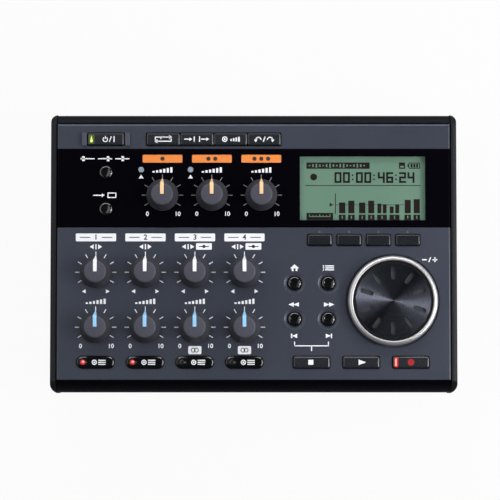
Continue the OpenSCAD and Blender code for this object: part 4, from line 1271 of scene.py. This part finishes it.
def display_meters(dark, pale):
    """Level meters over blank labels, with a small scale on the left."""
    dark.span(-10.45, -10.15, -9.7, -1.9)
    dark.span(-10.3, 16.0, -6.3, -6.14)
    dark.triangle(-12.0, -6.2, 1.4, 1.5)
    for left, right, tall in METERS:
        dark.span(left, right, METER_FOOT, METER_FOOT + tall)
    for left, right in METER_LABELS:
        centre = (left + right) / 2
        dark.span(left - 0.1, right + 0.1, -12.0, -10.0)
        pale.span(centre - 0.2, centre + 0.2, -11.6, -10.4)
    dark.span(-21.3, -11.15, -12.0, -9.3)
    pale.span(-20.3, -12.2, -10.85, -10.55)
    for i in range(7):
        tall = 0.9 if i % 3 == 0 else 0.5
        pale.span(-20.3 + 1.3 * i, -20.0 + 1.3 * i, -10.7, -10.7 + tall)


def display_content():
    centre = middle("lcd_lens")
    dark = Marks("display_segments", SEGMENT, "case", "display", GLASS_Z, origin=centre)
    pale = Marks("display_cutouts", PALE_SEGMENT, "case", "display", GLASS_Z + PRINT_T, origin=centre)
    display_title(dark, pale)
    display_counter(dark)
    display_meters(dark, pale)
    dark.done()
    pale.done()


# All pieces

POINTERS = ((INPUT_KNOBS, POINTER_ORANGE), (PAN_KNOBS, POINTER_WHITE), (LEVEL_KNOBS, POINTER_BLUE))
PLAIN_FINISHES = {"panel_board": BOARD, "rotary_pots": CONTROL, "encoder_body": CONTROL,
                  "key_switches": CONTROL, "overload_lamps": LAMP, "usb_port": STEEL, "sd_socket": STEEL,
                  "battery_contacts": STEEL, "battery_cells": CELL, "microphones": STEEL}

for knob_nodes, pointer in POINTERS:
    for knob_node in knob_nodes:
        knob(knob_node, pointer)
wheel_rim()
wheel_face()
for key_node in TRANSPORT_KEYS + SOFT_KEYS + FUNCTION_KEYS + ["power_key"]:
    bar_key(key_node, KEY_CORNER, SOFT_KEY if key_node in SOFT_KEYS else KEY_PLASTIC)
for key_node in TRACK_KEYS:
    bar_key(key_node, round_end(cap_depth(key_node)), DARK_KEY)
for key_node in ROUND_KEYS:
    round_key(key_node)
for key_node in TRACK_KEYS:
    track_lamp(key_node, key_node in LIT_TRACK_KEYS)
key_gap_shades()
input_print()
track_print()
control_print()
power_key_signs()
function_key_signs()
transport_key_signs()
track_key_signs()
display_content()

top_case()
jack_rings()
dressed("front_panel", [FRONT_BLACK], edge=0.12 * MM)
dressed("window_panel", [GLOSS_BLACK], edge=0.06 * MM)
dressed("left_cheek", [CHEEK_PLASTIC])
dressed("right_cheek", [CHEEK_PLASTIC])
dressed("bottom_case", [BASE_PLASTIC], edge=0.2 * MM)
dressed("battery_door", [BASE_PLASTIC])
dressed("sd_door", [CHEEK_PLASTIC])
dressed("jack_plate", [BASE_PLASTIC], edge=0.12 * MM)
dressed("rear_jacks", [JACK], edge=0.15 * MM)
dressed("rubber_feet", [RUBBER], edge=0.5 * MM, segments=3)
dressed("case_screws", [SCREW_STEEL])
dressed("lcd_lens", [LENS])
dressed("lcd_module", [DISPLAY])
for plain_node, plain_finish in PLAIN_FINISHES.items():
    solid = frame["nodes"][plain_node]
    solid.data.materials.clear()
    solid.data.materials.append(plain_finish)


# Stage

FLOOR_HALF = 6.0
FLOOR_DROP = 0.05 * MM
FLOOR_SEEN = 0.94
FLOOR_MIRRORED = 0.9
FLOOR_FADE = (-0.06, 0.12)
FLOOR_FADE_LEVELS = (0.04, 0.2)
ROOM_COOLNESS = 1.03
LIT_POINT = (0, 0, 0.02)


def floor():
    """Pale floor that keeps the object's shadow, and is clear from below to show the underside."""
    shape = bmesh.new()
    bmesh.ops.create_grid(shape, x_segments=1, y_segments=1, size=FLOOR_HALF,
                          matrix=Matrix.Translation((0, 0, -FLOOR_DROP)))
    mesh = bpy.data.meshes.new("floor")
    shape.to_mesh(mesh)
    shape.free()
    material, tree, shader = plain_material("pale_floor")
    set_sockets(tree, shader, {"Base Color": (0.6, 0.6, 0.6, 1), "Roughness": 0.9, "Specular IOR Level": 0.1})
    path = tree.nodes.new("ShaderNodeLightPath")
    seen = math_node(tree, "MAXIMUM", path.outputs["Is Camera Ray"], path.outputs["Is Transmission Ray"])
    share = math_node(tree, "ADD", math_node(tree, "MULTIPLY", seen, FLOOR_SEEN),
                      math_node(tree, "MULTIPLY", path.outputs["Is Glossy Ray"], FLOOR_MIRRORED))
    across = split_vector(tree, object_coordinates(tree))
    dimmed = map_range(tree, across[1], *FLOOR_FADE, *FLOOR_FADE_LEVELS)
    glow = tree.nodes.new("ShaderNodeEmission")
    tree.links.new(math_node(tree, "MAXIMUM", dimmed, seen), glow.inputs["Strength"])
    lit = mix_shaders(tree, share, shader.outputs[0], glow.outputs[0])
    below = tree.nodes.new("ShaderNodeNewGeometry").outputs["Backfacing"]
    clear = tree.nodes.new("ShaderNodeBsdfTransparent").outputs[0]
    tree.links.new(mix_shaders(tree, below, lit, clear), tree.nodes["Material Output"].inputs["Surface"])
    mesh.materials.append(material)
    piece = bpy.data.objects.new("floor", mesh)
    piece.visible_shadow = False
    scene.collection.objects.link(piece)


def mix_shaders(tree, share, first, second):
    node = tree.nodes.new("ShaderNodeMixShader")
    for socket, source in zip(node.inputs, (share, first, second)):
        tree.links.new(source, socket)
    return node.outputs[0]


def softbox(name, place, width, height, power, aim=LIT_POINT):
    light = bpy.data.lights.new(name, "AREA")
    light.shape = "RECTANGLE"
    light.size = width
    light.size_y = height
    light.energy = power
    lamp = bpy.data.objects.new(name, light)
    lamp.visible_camera = False
    lamp.location = place
    lamp.rotation_euler = (Vector(aim) - Vector(place)).to_track_quat("-Z", "Y").to_euler()
    scene.collection.objects.link(lamp)


def surroundings():
    """A room with pale walls low down, dark overhead and dim in front, so that polished black stays black."""
    world = bpy.data.worlds.new("room")
    scene.world = world
    world.use_nodes = True
    tree = world.node_tree
    way = split_vector(tree, tree.nodes.new("ShaderNodeTexCoord").outputs["Generated"])
    ramp = tree.nodes.new("ShaderNodeValToRGB")
    stops = ramp.color_ramp.elements
    for stop, position, level in ((stops[0], 0.0, 0.22), (stops[1], 0.95, 0.03)):
        stop.position = position
        stop.color = (level, level, level * ROOM_COOLNESS, 1)
    for position, level in ((0.25, 0.26), (0.5, 0.14)):
        stops.new(position).color = (level, level, level * ROOM_COOLNESS, 1)
    tree.links.new(way[2], ramp.inputs[0])
    front = map_range(tree, way[1], -0.8, 0.2, 0.25, 1.0)
    above = math_node(tree, "GREATER_THAN", way[2], 0.0)
    room = tinted(tree, ramp.outputs[0], math_node(tree, "MULTIPLY", front, above))
    path = tree.nodes.new("ShaderNodeLightPath")
    tree.links.new(mix_colour(tree, path.outputs["Is Camera Ray"], room, (1.0, 1.0, 1.0, 1.0)),
                   tree.nodes["Background"].inputs["Color"])


def camera():
    """Looks almost straight down from the front, from 0.9 m above the panel."""
    aim = Vector((-0.0014, 0.0009, PANEL_Z))
    reach = 0.9017
    elevation = math.radians(86.5)
    eye = bpy.data.cameras.new("camera")
    eye.lens = 171
    eye.sensor_width = 36
    body = bpy.data.objects.new("camera", eye)
    body.location = aim + reach * Vector((0, -math.cos(elevation), math.sin(elevation)))
    body.rotation_euler = (aim - body.location).to_track_quat("-Z", "Y").to_euler()
    scene.collection.objects.link(body)
    scene.camera = body


floor()
softbox("key_light", (-0.66, 0.16, 0.68), width=1.3, height=1.1, power=4.8)
softbox("side_light", (0.47, -0.08, 0.34), width=0.7, height=0.14, power=1.9)
softbox("streak_light", (0.49, -0.06, 0.37), width=0.1, height=0.68, power=2.0)
softbox("rear_light", (0, 0.75, 0.46), width=1.2, height=0.18, power=4.8)
softbox("under_light", (0, 0.1, -0.7), width=0.6, height=0.6, power=3, aim=(0, 0, 0))
surroundings()
camera()
scene.view_settings.view_transform = "Standard"
